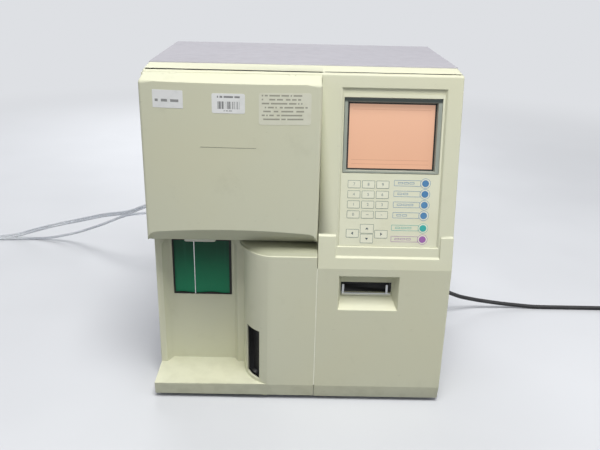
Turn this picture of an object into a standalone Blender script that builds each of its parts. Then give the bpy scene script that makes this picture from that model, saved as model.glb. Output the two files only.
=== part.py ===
"""Benchtop hematology analyzer: plastic front with a tilted console and a sampling bay, metal case behind.

Metres, +Z up, X to the right seen from the front, Y to the back. The origin is on the table under the
middle of the main unit.
"""
import math

import bmesh
import bpy
from mathutils import Matrix, Vector

# Sheet and moulding thicknesses, and the gap that seated pieces keep
WALL = 0.003
SHEET = 0.0012
PAN_SHEET = 0.0015
GAP = 0.0003

# Widths of the three fronts, left to right, which make up the width of the main unit
BAY_WIDTH = 0.129
COLUMN_WIDTH = 0.1055
CONSOLE_WIDTH = 0.1855
WIDTH = BAY_WIDTH + COLUMN_WIDTH + CONSOLE_WIDTH
SIDE = WIDTH / 2
STRIP_END_X = -SIDE + BAY_WIDTH
PARTING_X = SIDE - CONSOLE_WIDTH  # joint between the left mouldings and the console
PARTING_GAP = 0.0003

# Heights: the feet, the lower front up to the crease, and the upper part
BASE_Z = 0.0065  # underside of the mouldings, on the feet
PLATFORM_Z = BASE_Z + 0.0205
LOWER_HEIGHT = 0.2105
CREASE_Z = BASE_Z + LOWER_HEIGHT  # the console tilts back above this line
LEDGE_Z = CREASE_Z + 0.0164  # styling line across the column and the console
SIDE_LEDGE_Z = CREASE_Z + 0.046
UPPER_HEIGHT = 0.263
HEIGHT = CREASE_Z + UPPER_HEIGHT

# Depths behind the front face
BAY_WALL_DEPTH = 0.0715
SEAM_DEPTH = BAY_WALL_DEPTH + 0.016  # the plastic front ends here
REAR_BAY = 0.2375
CASE_DEPTH = SEAM_DEPTH + REAR_BAY  # front face to the rear face of the metal case
FITTING_REACH = 0.025  # the tube nipples stand out this far behind the case
FRONT = -(CASE_DEPTH + FITTING_REACH) / 2
GROOVE = 0.002
SKIRT_SETBACK = 0.0036
TOP_EDGE_DEPTH = 0.046
TOP_EDGE_Z = HEIGHT - 0.0048
BAND_TOP_Z = HEIGHT - 0.001
BAND_BOTTOM_Z = HEIGHT - 0.017
PROUD = 0.0025  # the lower front stands this far out of the console face
CONSOLE_TILT = math.atan2(TOP_EDGE_DEPTH - PROUD, TOP_EDGE_Z - CREASE_Z)
CONSOLE_SLOPE = math.hypot(TOP_EDGE_DEPTH - PROUD, TOP_EDGE_Z - CREASE_Z)  # top edge to crease

# Console details: X across, and the drop measured down the tilted face from its top edge
SLAB_X = (PARTING_X + 0.0243, SIDE - 0.0184)
PANEL_X = (SLAB_X[0] + 0.0017, SLAB_X[1] - 0.0021)
PANEL_DROP = (0.0177, CONSOLE_SLOPE - 0.0306)
PANEL_DEPTH = 0.003
PANEL_DRAFT = 0.002
PANEL_TOP_DRAFT = 0.0068
BEZEL_X = (PANEL_X[0] + 0.0040, PANEL_X[1] - 0.0055)
BEZEL_DROP = (PANEL_DROP[0] + 0.0123, PANEL_DROP[0] + 0.1120)
WINDOW_X = (BEZEL_X[0] + 0.0060, BEZEL_X[1] - 0.0068)
WINDOW_DROP = (BEZEL_DROP[0] + 0.0066, BEZEL_DROP[1] - 0.0045)
BEZEL_DEPTH = 0.006
OVERLAY_SHEET = 0.0005

# Printer recess in the upright front below the console
POCKET_WIDTH = 0.084
POCKET_X = (PARTING_X + 0.0303, PARTING_X + 0.0303 + POCKET_WIDTH)
POCKET_Z = (CREASE_Z - 0.0635, CREASE_Z - 0.0115)
POCKET_DEPTH = 0.0222
POCKET_BACK_X = (POCKET_X[0] + 0.0042, POCKET_X[1] - 0.0066)
POCKET_BACK_Z = (POCKET_Z[0] + 0.0120, POCKET_Z[1] - 0.0005)
SLOT_X = (POCKET_BACK_X[0] + 0.0006, POCKET_BACK_X[1] - 0.0006)
SLOT_Z = (POCKET_BACK_Z[0] + 0.0055, POCKET_BACK_Z[0] + 0.0210)

# Sampling bay and column
CHEEK_DEPTH = BAY_WALL_DEPTH - 0.0135
CHEEK_WIDTH = 0.0095
BAY_WALL_X = (-SIDE + 0.0170, STRIP_END_X - 0.0156)
STRIP_X = (STRIP_END_X - 0.0105, STRIP_END_X)
COLUMN_RADII = (0.045, BAY_WALL_DEPTH - 0.0125)
BAY_TOP_Z = LEDGE_Z + 0.0061
COVE_STEPS = ((0.0000, 0.0000), (0.0002, 0.0015), (0.0010, 0.0040), (0.0030, 0.0060), (0.0050, 0.0120), (0.0057, 0.0220))
COVE_REACH = 0.034
HAUNCH_RISE = 0.0175  # the strip and the wall's right edge lean left over this height below the bay's top
HAUNCH_LEAN = 0.0095
CHEEK_LEAN = 0.0035
PLATE_WINDOW_X = (BAY_WALL_X[0] + 0.0050, BAY_WALL_X[1] - 0.0039)
PLATE_WINDOW_Z = (LEDGE_Z - 0.0959, LEDGE_Z - 0.0069)
GASKET = 0.0015
SWITCH_ANGLES = (30.0, 63.0)  # round the column from its left end
SWITCH_Z = (PLATFORM_Z + 0.006, PLATFORM_Z + 0.085)

# Front cover, whose face bows forward between its ends
COVER_FACE = 0.0148
COVER_NEAR = 0.0030
COVER_CREST = 0.135  # from the left side to the most forward part of the bow
COVER_TOP_Z = HEIGHT - 0.0135
COVER_WALL = 0.0025
COVER_ROUND = 0.004
COVER_REAR = TOP_EDGE_DEPTH + 0.003
HINGE_RADIUS = 0.003
HINGE_DEPTH = TOP_EDGE_DEPTH - HINGE_RADIUS - 0.0005
HINGE_Z = TOP_EDGE_Z - 0.0055
HINGE_LUG_X = (-SIDE + 0.040, PARTING_X - 0.0395)
HINGE_LUG_WIDTH = 0.008
PIN_RADIUS = 0.0012
PIN_LENGTH = 0.024
LIP_DEPTH = COVER_FACE + 0.0192
LIP_Z = BAY_TOP_Z + 0.003
ARCH_RISE = 0.0055
ARCH_Z = LIP_Z + 0.0172  # front edge of the arch beside its rounded ends
ARCH_END_Z = LIP_Z + 0.006
ARCH_END = 0.012
BOW_LIFT = 0.4  # the arch rises by this share of the bow

# Sample probe
PROBE_X = -SIDE + 0.0565
PROBE_DEPTH = BAY_WALL_DEPTH - 0.0115
PROBE_RADIUS = 0.0008
PROBE_STROKE = 0.088
CUP_HEIGHT = 0.0138
CUP_Z = (BAY_TOP_Z - 0.0088, BAY_TOP_Z - 0.0088 + CUP_HEIGHT)
PROBE_TIP_Z = CUP_Z[0] + 0.0018 - PROBE_STROKE
CARRIAGE_HEIGHT = 0.022
CARRIAGE_Z = (BAY_TOP_Z + 0.0505, BAY_TOP_Z + 0.0505 + CARRIAGE_HEIGHT)

# Hydraulics on the bulkhead, placed from the console's edge and the bay's top
COMPARTMENT_X = PARTING_X - 0.0065
MANIFOLD_SIZE = (0.080, 0.017, 0.024)
MANIFOLD_RISE = 0.0165
SOLENOID_RADIUS = 0.0062
SOLENOID_LENGTH = 0.020
SOLENOIDS = 4
VALVE_SIZE = 0.036
VALVE_RISE = 0.064
VALVE_DISC = 0.016
VALVE_BODY_DEPTH = 0.0212
VALVE_LEVER = 0.030
DETECTOR_SIZE = (0.044, 0.035, 0.050)
DETECTOR_RISE = 0.099
DETECTOR_PITCH = 0.049
PORT_RADIUS = 0.004
PORT_LENGTH = 0.012
CHAMBER_RADIUS = 0.008
CHAMBER_HEIGHT = 0.034
CHAMBER_RISE = 0.045

# Feet
FOOT_RADIUS = 0.011
FOOT_X = SIDE - 0.035
FOOT_DEPTHS = (0.045, CASE_DEPTH - 0.040)

# Units in the metal case
BOARD_X = (-0.050, SIDE - 0.025)
BOARD_Z = (0.150, HEIGHT - 0.050)
SUPPLY_SIZE = (0.110, 0.150, 0.068)
SUPPLY_X = SIDE - 0.060
PUMP_X = -SIDE + 0.060
PUMP_SIZE = (0.060, 0.070, 0.056)
PUMP_REAR = 0.028
WASTE_RADIUS = 0.032
WASTE_HEIGHT = 0.092

# Rear and side fittings
FAN_X = SIDE - 0.110
FAN_Z = HEIGHT - 0.120
FAN_SIZE = 0.080
FAN_THICK = 0.025
FAN_BORE = FAN_SIZE / 2 - 0.0025
FAN_HUB = 0.016
FAN_BLADES = 7
ENTRY_DEPTH = CASE_DEPTH - 0.050  # centre of the power entry module behind the front face
ENTRY_Z = (BASE_Z + 0.027, BASE_Z + 0.109)
ENTRY_WIDTH = 0.036
INLET_Z = ENTRY_Z[0] + 0.0165
ROCKER_Z = ENTRY_Z[1] - 0.0225
ROCKER_SIZE = (0.020, 0.026)
ROCKER_TILT = 7.0
ROCKER_X = SIDE - 0.0054  # its pivot
INLET_FLOOR = SIDE - 0.0204
NIPPLE_X = -SIDE + 0.020
NIPPLE_PITCH = 0.014
NIPPLE_Z = (0.178, 0.152)
TUBE_DIAMETERS = (0.0040, 0.0040, 0.0055)
NIPPLES = (
    (NIPPLE_X, NIPPLE_Z[0], TUBE_DIAMETERS[0]),
    (NIPPLE_X + NIPPLE_PITCH, NIPPLE_Z[0], TUBE_DIAMETERS[1]),
    (NIPPLE_X + 2 * NIPPLE_PITCH, NIPPLE_Z[1], TUBE_DIAMETERS[2]),
)

# Mains lead
LEAD_DIAMETER = 0.0073
LEAD_ROUTE_START = 0.2623
LEAD_COIL = (0.640, 0.2547)  # X, and depth behind the front face
LEAD_COIL_RADIUS = 0.042
LEAD_COIL_BUNDLE = (0.0222, 0.0150)


def behind(distance):
    """Y of a plane this far behind the front face."""
    return FRONT + distance


def surface(name, colour, roughness, metallic=0.0):
    made = bpy.data.materials.new(name)
    made.use_nodes = True
    shader = made.node_tree.nodes["Principled BSDF"]
    shader.inputs["Base Color"].default_value = (*colour, 1.0)
    shader.inputs["Roughness"].default_value = roughness
    shader.inputs["Metallic"].default_value = metallic
    return made


def block(bm, low, high):
    """A box between two corners."""
    made = bmesh.ops.create_cube(bm, size=1.0)["verts"]
    low, high = Vector(low), Vector(high)
    bmesh.ops.scale(bm, vec=high - low, verts=made)
    bmesh.ops.translate(bm, vec=(high + low) / 2, verts=made)
    return made


def frustum(bm, front, rear, axis="Y"):
    """A box with drafted sides: front and rear are (position, low pair, high pair) along an axis."""
    made = block(bm, (0, 0, 0), (1, 1, 1))
    k = "XYZ".index(axis)
    first, second = [i for i in range(3) if i != k]
    for vert in made:
        position, low, high = rear if vert.co[k] > 0.5 else front
        a = high[0] if vert.co[first] > 0.5 else low[0]
        b = high[1] if vert.co[second] > 0.5 else low[1]
        vert.co[k], vert.co[first], vert.co[second] = position, a, b
    return made


def prism(bm, outline, axis, start, end):
    """Extrude a closed outline along an axis; the outline's pairs are the two other axes in order."""
    k = "XYZ".index(axis)
    first, second = [i for i in range(3) if i != k]
    ring = []
    for a, b in outline:
        point = [0.0, 0.0, 0.0]
        point[k], point[first], point[second] = start, a, b
        ring.append(bm.verts.new(point))
    face = bm.faces.new(ring)
    grown = bmesh.ops.extrude_face_region(bm, geom=[face])["geom"]
    moved = [item for item in grown if isinstance(item, bmesh.types.BMVert)]
    shift = Vector((0.0, 0.0, 0.0))
    shift[k] = end - start
    bmesh.ops.translate(bm, vec=shift, verts=moved)
    return ring + moved


def turned(bm, profile, centre, axis="Z", steps=24, closed=False):
    """Spin a profile of (radius, height) pairs round an axis through centre."""
    k = "XYZ".index(axis[-1])
    way = -1.0 if axis[0] == "-" else 1.0
    along = Vector([way * (i == k) for i in range(3)])
    out = Vector([float(i == (k + 1) % 3) for i in range(3)])
    verts = [bm.verts.new(Vector(centre) + out * radius + along * height) for radius, height in profile]
    edges = [bm.edges.new(pair) for pair in zip(verts, verts[1:])]
    if closed:
        edges.append(bm.edges.new((verts[-1], verts[0])))
    known = set(bm.verts) - set(verts)
    bmesh.ops.spin(
        bm, geom=verts + edges, cent=centre, axis=along, angle=math.tau, steps=steps, use_merge=True
    )
    fresh = [vert for vert in bm.verts if vert not in known]
    bmesh.ops.remove_doubles(bm, verts=fresh, dist=1e-6)


def cylinder(bm, centre, radius, length, axis="Z", steps=20):
    """A solid cylinder from centre along an axis."""
    turned(bm, [(0, 0), (radius, 0), (radius, length), (0, length)], centre, axis, steps)


def rounded(corners, steps=4):
    """An outline from corners (a, b, radius), with an arc of some steps at each corner that has a radius."""
    outline = []
    count = len(corners)
    for i, (a, b, radius) in enumerate(corners):
        here = Vector((a, b))
        if not radius:
            outline.append((a, b))
            continue
        before = (Vector(corners[i - 1][:2]) - here).normalized()
        after = (Vector(corners[(i + 1) % count][:2]) - here).normalized()
        half = before.angle(after) / 2
        centre = here + (before + after).normalized() * radius / math.sin(half)
        start = here + before * radius / math.tan(half) - centre
        end = here + after * radius / math.tan(half) - centre
        turn = start.angle_signed(end)
        for step in range(steps + 1):
            spoke = Matrix.Rotation(-turn * step / steps, 2) @ start
            outline.append(tuple(centre + spoke))
    return outline


def make(name, bm, material, origin=(0.0, 0.0, 0.0)):
    """Turn a bmesh drawn in place into a named object whose origin is at a chosen point."""
    bmesh.ops.recalc_face_normals(bm, faces=bm.faces)
    bmesh.ops.translate(bm, vec=-Vector(origin), verts=bm.verts)
    mesh = bpy.data.meshes.new(name)
    bm.to_mesh(mesh)
    bm.free()
    mesh.materials.append(material)
    mesh.shade_smooth()
    mesh.set_sharp_from_angle(angle=math.radians(35))
    piece = bpy.data.objects.new(name, mesh)
    piece.location = origin
    bpy.context.collection.objects.link(piece)
    return piece


def combine(piece, bm, operation="DIFFERENCE", on_console=False):
    """Cut a shape out of a piece, or join it on, with a Boolean whose guide stays hidden."""
    guide = make(f"{piece.name}_guide", bm, piece.data.materials[0])
    guide.hide_render = True
    guide.display_type = "WIRE"
    if on_console:
        lay_on_console(guide)
    step = piece.modifiers.new(operation.title(), "BOOLEAN")
    step.operation = operation
    step.object = guide
    return guide


def join(piece, bm, on_console=False):
    return combine(piece, bm, "UNION", on_console)


def lay_on_console(piece):
    """Place a piece drawn in console coordinates: X across, Y into the face, Z = minus the drop."""
    piece.location = (0.0, behind(TOP_EDGE_DEPTH), TOP_EDGE_Z)
    piece.rotation_euler = (-CONSOLE_TILT, 0.0, 0.0)


def slab_depth(z):
    """Depth of the tilted console face at a height."""
    return TOP_EDGE_DEPTH - (TOP_EDGE_Z - z) * math.tan(CONSOLE_TILT)


for leftover in list(bpy.data.objects):
    bpy.data.objects.remove(leftover, do_unlink=True)

CREAM = surface("cream_plastic", (0.66, 0.65, 0.49), 0.45)
CASE_PAINT = surface("case_paint", (0.56, 0.54, 0.58), 0.5)
STEEL = surface("zinc_steel", (0.55, 0.56, 0.57), 0.35, 1.0)
ALLOY = surface("alloy", (0.60, 0.61, 0.62), 0.4, 1.0)
BRIGHT = surface("bright_steel", (0.75, 0.76, 0.77), 0.2, 1.0)
BLACK = surface("black_plastic", (0.02, 0.02, 0.022), 0.5)
RUBBER = surface("rubber", (0.03, 0.03, 0.03), 0.8)
GREEN = surface("green_plastic", (0.01, 0.16, 0.10), 0.2)
SLATE = surface("slate_plastic", (0.16, 0.20, 0.22), 0.5)
OVERLAY = surface("overlay_film", (0.78, 0.77, 0.62), 0.4)
GLASS = surface("display_glass", (0.80, 0.45, 0.33), 0.15)
WHITE = surface("white_plastic", (0.80, 0.80, 0.76), 0.4)
CLEAR = surface("clear_plastic", (0.75, 0.80, 0.82), 0.1)
PAPER = surface("paper", (0.85, 0.85, 0.83), 0.8)
BOARD = surface("circuit_board", (0.03, 0.20, 0.08), 0.5)
CORD = surface("cord_rubber", (0.02, 0.02, 0.022), 0.6)


# Front frame: console, top band and left post in one moulding
def console_outline():
    """Side view of the console's upper part, with the tilted face, as (Y, Z) pairs."""
    low = CREASE_Z - 0.004
    corners = [
        (slab_depth(low), low, 0), (TOP_EDGE_DEPTH, TOP_EDGE_Z, 0.004), (SEAM_DEPTH, BAND_TOP_Z, 0),
        (SEAM_DEPTH, low, 0),
    ]
    return [(behind(y), z) for y, z in rounded(corners)]


def console_foot_outline():
    """Side view of the proud lower front, up to its ledge on the tilted face, as (Y, Z) pairs."""
    ledge_depth = (SIDE_LEDGE_Z - CREASE_Z) * math.tan(CONSOLE_TILT)
    corners = [
        (SKIRT_SETBACK, BASE_Z), (0.0, PLATFORM_Z), (0.0, CREASE_Z), (ledge_depth, SIDE_LEDGE_Z),
        (SEAM_DEPTH, SIDE_LEDGE_Z), (SEAM_DEPTH, BASE_Z),
    ]
    return [(behind(y), z) for y, z in corners]


def round_end(bm, x, radius, rear):
    """Round the edges of an end face at X that lie in front of the rear plane."""
    edge = [
        e for e in bm.edges
        if all(abs(v.co.x - x) < 1e-6 for v in e.verts) and min(v.co.y for v in e.verts) < rear - 1e-4
        and max(v.co.z for v in e.verts) > BASE_Z + 1e-4
    ]
    bmesh.ops.bevel(bm, geom=edge, offset=radius, segments=3, profile=0.5, affect="EDGES", material=-1)


def make_front_frame():
    bm = bmesh.new()
    prism(bm, console_foot_outline(), "X", PARTING_X + PARTING_GAP, SIDE)
    round_end(bm, SIDE, 0.0022, behind(SEAM_DEPTH))
    frame = make("front_frame", bm, CREAM)
    bm = bmesh.new()
    block(
        bm, (SLAB_X[0], behind(-WALL), LEDGE_Z), (SLAB_X[1], behind(SEAM_DEPTH + WALL), SIDE_LEDGE_Z + WALL)
    )
    combine(frame, bm)
    bm = bmesh.new()
    prism(bm, console_outline(), "X", PARTING_X + PARTING_GAP, SIDE)
    round_end(bm, SIDE, 0.0022, behind(SEAM_DEPTH))
    join(frame, bm)

    bm = bmesh.new()
    band = rounded([
        (TOP_EDGE_DEPTH, BAND_BOTTOM_Z, 0), (TOP_EDGE_DEPTH, TOP_EDGE_Z, 0.004),
        (SEAM_DEPTH, BAND_TOP_Z, 0), (SEAM_DEPTH, BAND_BOTTOM_Z, 0),
    ])
    prism(bm, [(behind(y), z) for y, z in band], "X", -SIDE, PARTING_X + WALL)
    round_end(bm, -SIDE, 0.0022, behind(SEAM_DEPTH))
    join(frame, bm)

    inner = PANEL_DEPTH + WALL
    top_z = BAND_TOP_Z - WALL
    low_z = PLATFORM_Z - WALL
    cavity = [
        (SKIRT_SETBACK + WALL, 0.0), (WALL, low_z), (WALL, CREASE_Z - 0.010),
        (slab_depth(CREASE_Z) + inner, CREASE_Z), (slab_depth(top_z) + inner, top_z),
        (SEAM_DEPTH + WALL, top_z), (SEAM_DEPTH + WALL, 0.0),
    ]
    bm = bmesh.new()
    prism(bm, [(behind(y), z) for y, z in cavity], "X", PARTING_X + PARTING_GAP + WALL, SIDE - WALL)
    combine(frame, bm)
    bm = bmesh.new()
    block(
        bm, (-SIDE + WALL, behind(TOP_EDGE_DEPTH + WALL), BAND_BOTTOM_Z - WALL),
        (PARTING_X + PARTING_GAP, behind(SEAM_DEPTH + WALL), BAND_TOP_Z - WALL),
    )
    combine(frame, bm)

    bm = bmesh.new()
    block(
        bm, (-SIDE, behind(COVER_REAR + 0.001), BAY_TOP_Z + GAP),
        (-SIDE + WALL + 0.001, behind(SEAM_DEPTH), BAND_BOTTOM_Z + WALL),
    )
    join(frame, bm)

    for x in HINGE_LUG_X:
        bm = bmesh.new()
        prism(bm, hinge_lug_outline(), "X", x - HINGE_LUG_WIDTH / 2, x + HINGE_LUG_WIDTH / 2)
        join(frame, bm)
        bm = bmesh.new()
        cylinder(
            bm, (x - PIN_LENGTH / 2, behind(HINGE_DEPTH), HINGE_Z), PIN_RADIUS + GAP, PIN_LENGTH, "X", 12
        )
        combine(frame, bm)

    cut_console(frame)
    return frame


def hinge_lug_outline():
    """Round nose on the hinge axis with a neck back to the band, as (Y, Z) pairs."""
    nose = HINGE_RADIUS - 0.0002
    centre = Vector((behind(HINGE_DEPTH), HINGE_Z))
    arc = [
        (centre.x - nose * math.cos(angle), centre.y + nose * math.sin(angle))
        for angle in (math.radians(a) for a in range(-90, 91, 30))
    ]
    root = behind(TOP_EDGE_DEPTH + WALL / 2)
    return arc + [(root, arc[-1][1]), (root, arc[0][1])]


def cut_console(frame):
    """Panel recess, bezel opening and printer pocket."""
    bm = bmesh.new()
    side, head, foot = PANEL_DRAFT, PANEL_TOP_DRAFT, 0.0007
    out = (-PANEL_DEPTH, (PANEL_X[0] - side, -PANEL_DROP[1] - foot), (PANEL_X[1] + side, -PANEL_DROP[0] + head))
    deep = (PANEL_DEPTH, (PANEL_X[0] + side, -PANEL_DROP[1] + foot), (PANEL_X[1] - side, -PANEL_DROP[0] - head))
    frustum(bm, out, deep)
    combine(frame, bm, on_console=True)

    bm = bmesh.new()
    block(bm, (BEZEL_X[0], 0.0, -BEZEL_DROP[1]), (BEZEL_X[1], 4 * WALL, -BEZEL_DROP[0]))
    combine(frame, bm, on_console=True)

    bm = bmesh.new()
    block(
        bm, (POCKET_X[0] - WALL, behind(WALL / 2), POCKET_Z[0] - WALL),
        (POCKET_X[1] + WALL, behind(POCKET_DEPTH + WALL), POCKET_Z[1] + WALL),
    )
    join(frame, bm)
    bm = bmesh.new()
    frustum(
        bm, (behind(-0.0001), (POCKET_X[0], POCKET_Z[0]), (POCKET_X[1], POCKET_Z[1])),
        (behind(POCKET_DEPTH), (POCKET_BACK_X[0], POCKET_BACK_Z[0]), (POCKET_BACK_X[1], POCKET_BACK_Z[1])),
    )
    combine(frame, bm)
    bm = bmesh.new()
    block(
        bm, (SLOT_X[0], behind(POCKET_DEPTH - WALL / 2), SLOT_Z[0]),
        (SLOT_X[1], behind(POCKET_DEPTH + 2 * WALL), SLOT_Z[1]),
    )
    combine(frame, bm)
    clear_pan(frame)


def clear_pan(moulding):
    """Let the base pan through the inner walls of a front moulding."""
    bm = bmesh.new()
    margin = WALL - GAP
    block(
        bm, (-SIDE + margin, behind(SKIRT_SETBACK + WALL - GAP), -0.01),
        (SIDE - margin, behind(SEAM_DEPTH + WALL), PAN_TOP_Z + GAP),
    )
    combine(moulding, bm)


PAN_FLANGE = 0.011
PAN_TOP_Z = BASE_Z + PAN_FLANGE
PAN_EDGE = SIDE - WALL - 2 * GAP
PAN_FRONT = SKIRT_SETBACK + WALL + GAP
REAR_FACE = CASE_DEPTH - GAP


def make_base_pan():
    bm = bmesh.new()
    block(bm, (-PAN_EDGE, behind(PAN_FRONT), BASE_Z), (PAN_EDGE, behind(REAR_FACE - 2 * SHEET), PAN_TOP_Z))
    pan = make("base_pan", bm, STEEL)
    bm = bmesh.new()
    block(
        bm, (-PAN_EDGE + PAN_SHEET, behind(PAN_FRONT + PAN_SHEET), BASE_Z + PAN_SHEET),
        (PAN_EDGE - PAN_SHEET, behind(REAR_FACE - 2 * SHEET - PAN_SHEET), PAN_TOP_Z + WALL),
    )
    combine(pan, bm)


def make_feet():
    for side_name, x in (("left", -FOOT_X), ("right", FOOT_X)):
        for end_name, depth in zip(("front", "rear"), FOOT_DEPTHS):
            bm = bmesh.new()
            top = BASE_Z - GAP
            profile = [(0, 0), (FOOT_RADIUS - 0.002, 0), (FOOT_RADIUS - 0.0008, 0.0012), (FOOT_RADIUS, top), (0, top)]
            turned(bm, profile, (x, behind(depth), 0.0))
            make(f"foot_{end_name}_{side_name}", bm, RUBBER)


# Lower left moulding: platform, cheek, bay wall, right strip, rounded column and its cove
def bay_path():
    """Plan of the upright wall as (X, depth, how far the cove bites there), left rear to right rear."""
    right = PARTING_X - PARTING_GAP
    path = [
        (-SIDE, SEAM_DEPTH, 0), (-SIDE, CHEEK_DEPTH, 0), (-SIDE + CHEEK_WIDTH, CHEEK_DEPTH, 0),
        (BAY_WALL_X[0], BAY_WALL_DEPTH, 0), (BAY_WALL_X[1], BAY_WALL_DEPTH, 0),
        (STRIP_X[0], COLUMN_RADII[1] + 0.002, 0), (STRIP_X[1], COLUMN_RADII[1] + 0.001, 0),
    ]
    steps = 15
    for step in range(1, steps + 1):
        path.append((*column_point(90 * step / steps), min(1.0, step / 5)))
    path += [(right, 0.0, 1.0), (right, SEAM_DEPTH, 0)]
    return path


def cove_point(x, depth, bite, inset):
    """A plan point moved in by the cove, towards the column's centre."""
    centre_x = STRIP_X[1] + COLUMN_RADII[0]
    share = min(1.0, inset / COLUMN_RADII[1]) * bite
    moved_x = x + (centre_x - x) * share if x < centre_x else x
    return moved_x, depth + (COLUMN_RADII[1] - depth) * share


def haunch_shift(x, z):
    """How far the cheek's edge, the wall's right edge, the strip and the column's left end lean left at a height."""
    rise = max(0.0, (z - (BAY_TOP_Z - HAUNCH_RISE)) / HAUNCH_RISE)
    if abs(x - (CHEEK_WIDTH - SIDE)) < 1e-6:
        return CHEEK_LEAN * rise
    if not BAY_WALL_X[1] - 1e-6 <= x < STRIP_X[1] + COLUMN_RADII[0]:
        return 0.0
    fade = min(1.0, (STRIP_X[1] + COLUMN_RADII[0] - x) / COLUMN_RADII[0])
    return HAUNCH_LEAN * rise * fade ** 4


def bay_levels():
    levels = [(PLATFORM_Z, 0.0), (BAY_TOP_Z - HAUNCH_RISE, 0.0)]
    levels += [(LEDGE_Z + rise, inset) for rise, inset in COVE_STEPS]
    return levels + [(BAY_TOP_Z, COVE_REACH)]


def make_bay_moulding():
    path = bay_path()
    bm = bmesh.new()
    rings = []
    for z, inset in bay_levels():
        ring = []
        for x, depth, bite in path:
            moved_x, moved_depth = cove_point(x, depth, bite, inset)
            ring.append(bm.verts.new((moved_x - haunch_shift(x, z), behind(moved_depth), z)))
        rings.append(ring)
    for lower, upper in zip(rings, rings[1:]):
        for i in range(len(path) - 1):
            bm.faces.new((lower[i], lower[i + 1], upper[i + 1], upper[i]))
    bm.faces.new(rings[-1])

    corner = bm.verts.new((-SIDE, behind(0.0), PLATFORM_Z))
    foot = rings[0]
    column_front = foot[-3]
    bm.faces.new([corner, *foot[1:-2]])
    low = {
        vert: bm.verts.new((vert.co.x, vert.co.y + (SKIRT_SETBACK if vert.co.y < FRONT + 1e-5 else 0), BASE_Z))
        for vert in (foot[0], foot[1], corner, column_front, foot[-2], foot[-1])
    }
    skirt = [foot[0], foot[1], corner, column_front, foot[-2], foot[-1]]
    for a, b in zip(skirt, skirt[1:]):
        bm.faces.new((low[a], low[b], b, a))
    bm.faces.new([low[vert] for vert in skirt])
    left_edge = [ring[0] for ring in rings]
    right_edge = [ring[-1] for ring in rings]
    bm.faces.new([low[foot[0]], *left_edge, *reversed(right_edge), low[foot[-1]]])
    moulding = make("bay_moulding", bm, CREAM)

    bm = bmesh.new()
    inner = offset_path([(x, y) for x, y, _ in path], WALL)
    inner[0] = (inner[0][0], SEAM_DEPTH + WALL)
    inner[-1] = (inner[-1][0], SEAM_DEPTH + WALL)
    prism(bm, [(x, behind(y)) for x, y in inner], "Z", 0.0, LEDGE_Z - WALL)
    combine(moulding, bm)
    bm = bmesh.new()
    block(
        bm, (-SIDE + WALL, behind(SKIRT_SETBACK + WALL), 0.0),
        (PARTING_X - PARTING_GAP - WALL, behind(SEAM_DEPTH + WALL), PLATFORM_Z - WALL),
    )
    combine(moulding, bm)
    bm = bmesh.new()
    block(
        bm, (PLATE_WINDOW_X[0], behind(BAY_WALL_DEPTH - WALL), PLATE_WINDOW_Z[0]),
        (PLATE_WINDOW_X[1], behind(BAY_WALL_DEPTH + 2 * WALL), PLATE_WINDOW_Z[1]),
    )
    combine(moulding, bm)
    bm = bmesh.new()
    reach = 0.012
    block(
        bm, (-SWITCH_HALF, -reach, SWITCH_Z[0]), (SWITCH_HALF, reach, SWITCH_Z[1]),
    )
    switch_place(bm)
    combine(moulding, bm)
    clear_pan(moulding)


def offset_path(points, distance):
    """The path moved to its left side by a distance, with mitred corners."""
    moved = []
    for i, point in enumerate(points):
        here = Vector(point)
        ways = []
        if i > 0:
            ways.append((here - Vector(points[i - 1])).normalized())
        if i < len(points) - 1:
            ways.append((Vector(points[i + 1]) - here).normalized())
        normals = [Vector((-way.y, way.x)) for way in ways]
        mean = sum(normals, Vector((0.0, 0.0))).normalized()
        moved.append(tuple(here + mean * distance / mean.dot(normals[0])))
    return moved


def column_point(degrees):
    """A point on the column's rounded left flank, at an angle round from its left end."""
    angle = math.radians(degrees)
    x = STRIP_X[1] + COLUMN_RADII[0] * (1 - math.cos(angle))
    return Vector((x, COLUMN_RADII[1] * (1 - math.sin(angle))))


SWITCH_LEFT, SWITCH_RIGHT = (column_point(degrees) for degrees in SWITCH_ANGLES)
SWITCH_SPAN = SWITCH_RIGHT - SWITCH_LEFT
SWITCH_HALF = SWITCH_SPAN.length / 2
SWITCH_TURN = math.atan2(SWITCH_SPAN.y, SWITCH_SPAN.x)
SWITCH_MIDDLE = (SWITCH_LEFT + SWITCH_RIGHT) / 2


def switch_place(bm):
    """Move shapes drawn in the switch's own frame (X along the opening, Y into the column) into place."""
    turn = Matrix.Rotation(SWITCH_TURN, 4, "Z")
    shift = Matrix.Translation((SWITCH_MIDDLE.x, behind(SWITCH_MIDDLE.y), 0.0))
    bmesh.ops.transform(bm, matrix=shift @ turn, verts=bm.verts)


POCKET_START = 0.0045
POCKET_END = 0.024
PIVOT = (-0.0115, 0.0125)


def switch_point(x, y):
    spot = Matrix.Rotation(SWITCH_TURN, 2) @ Vector((x, y)) + SWITCH_MIDDLE
    return spot.x, behind(spot.y)


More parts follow.
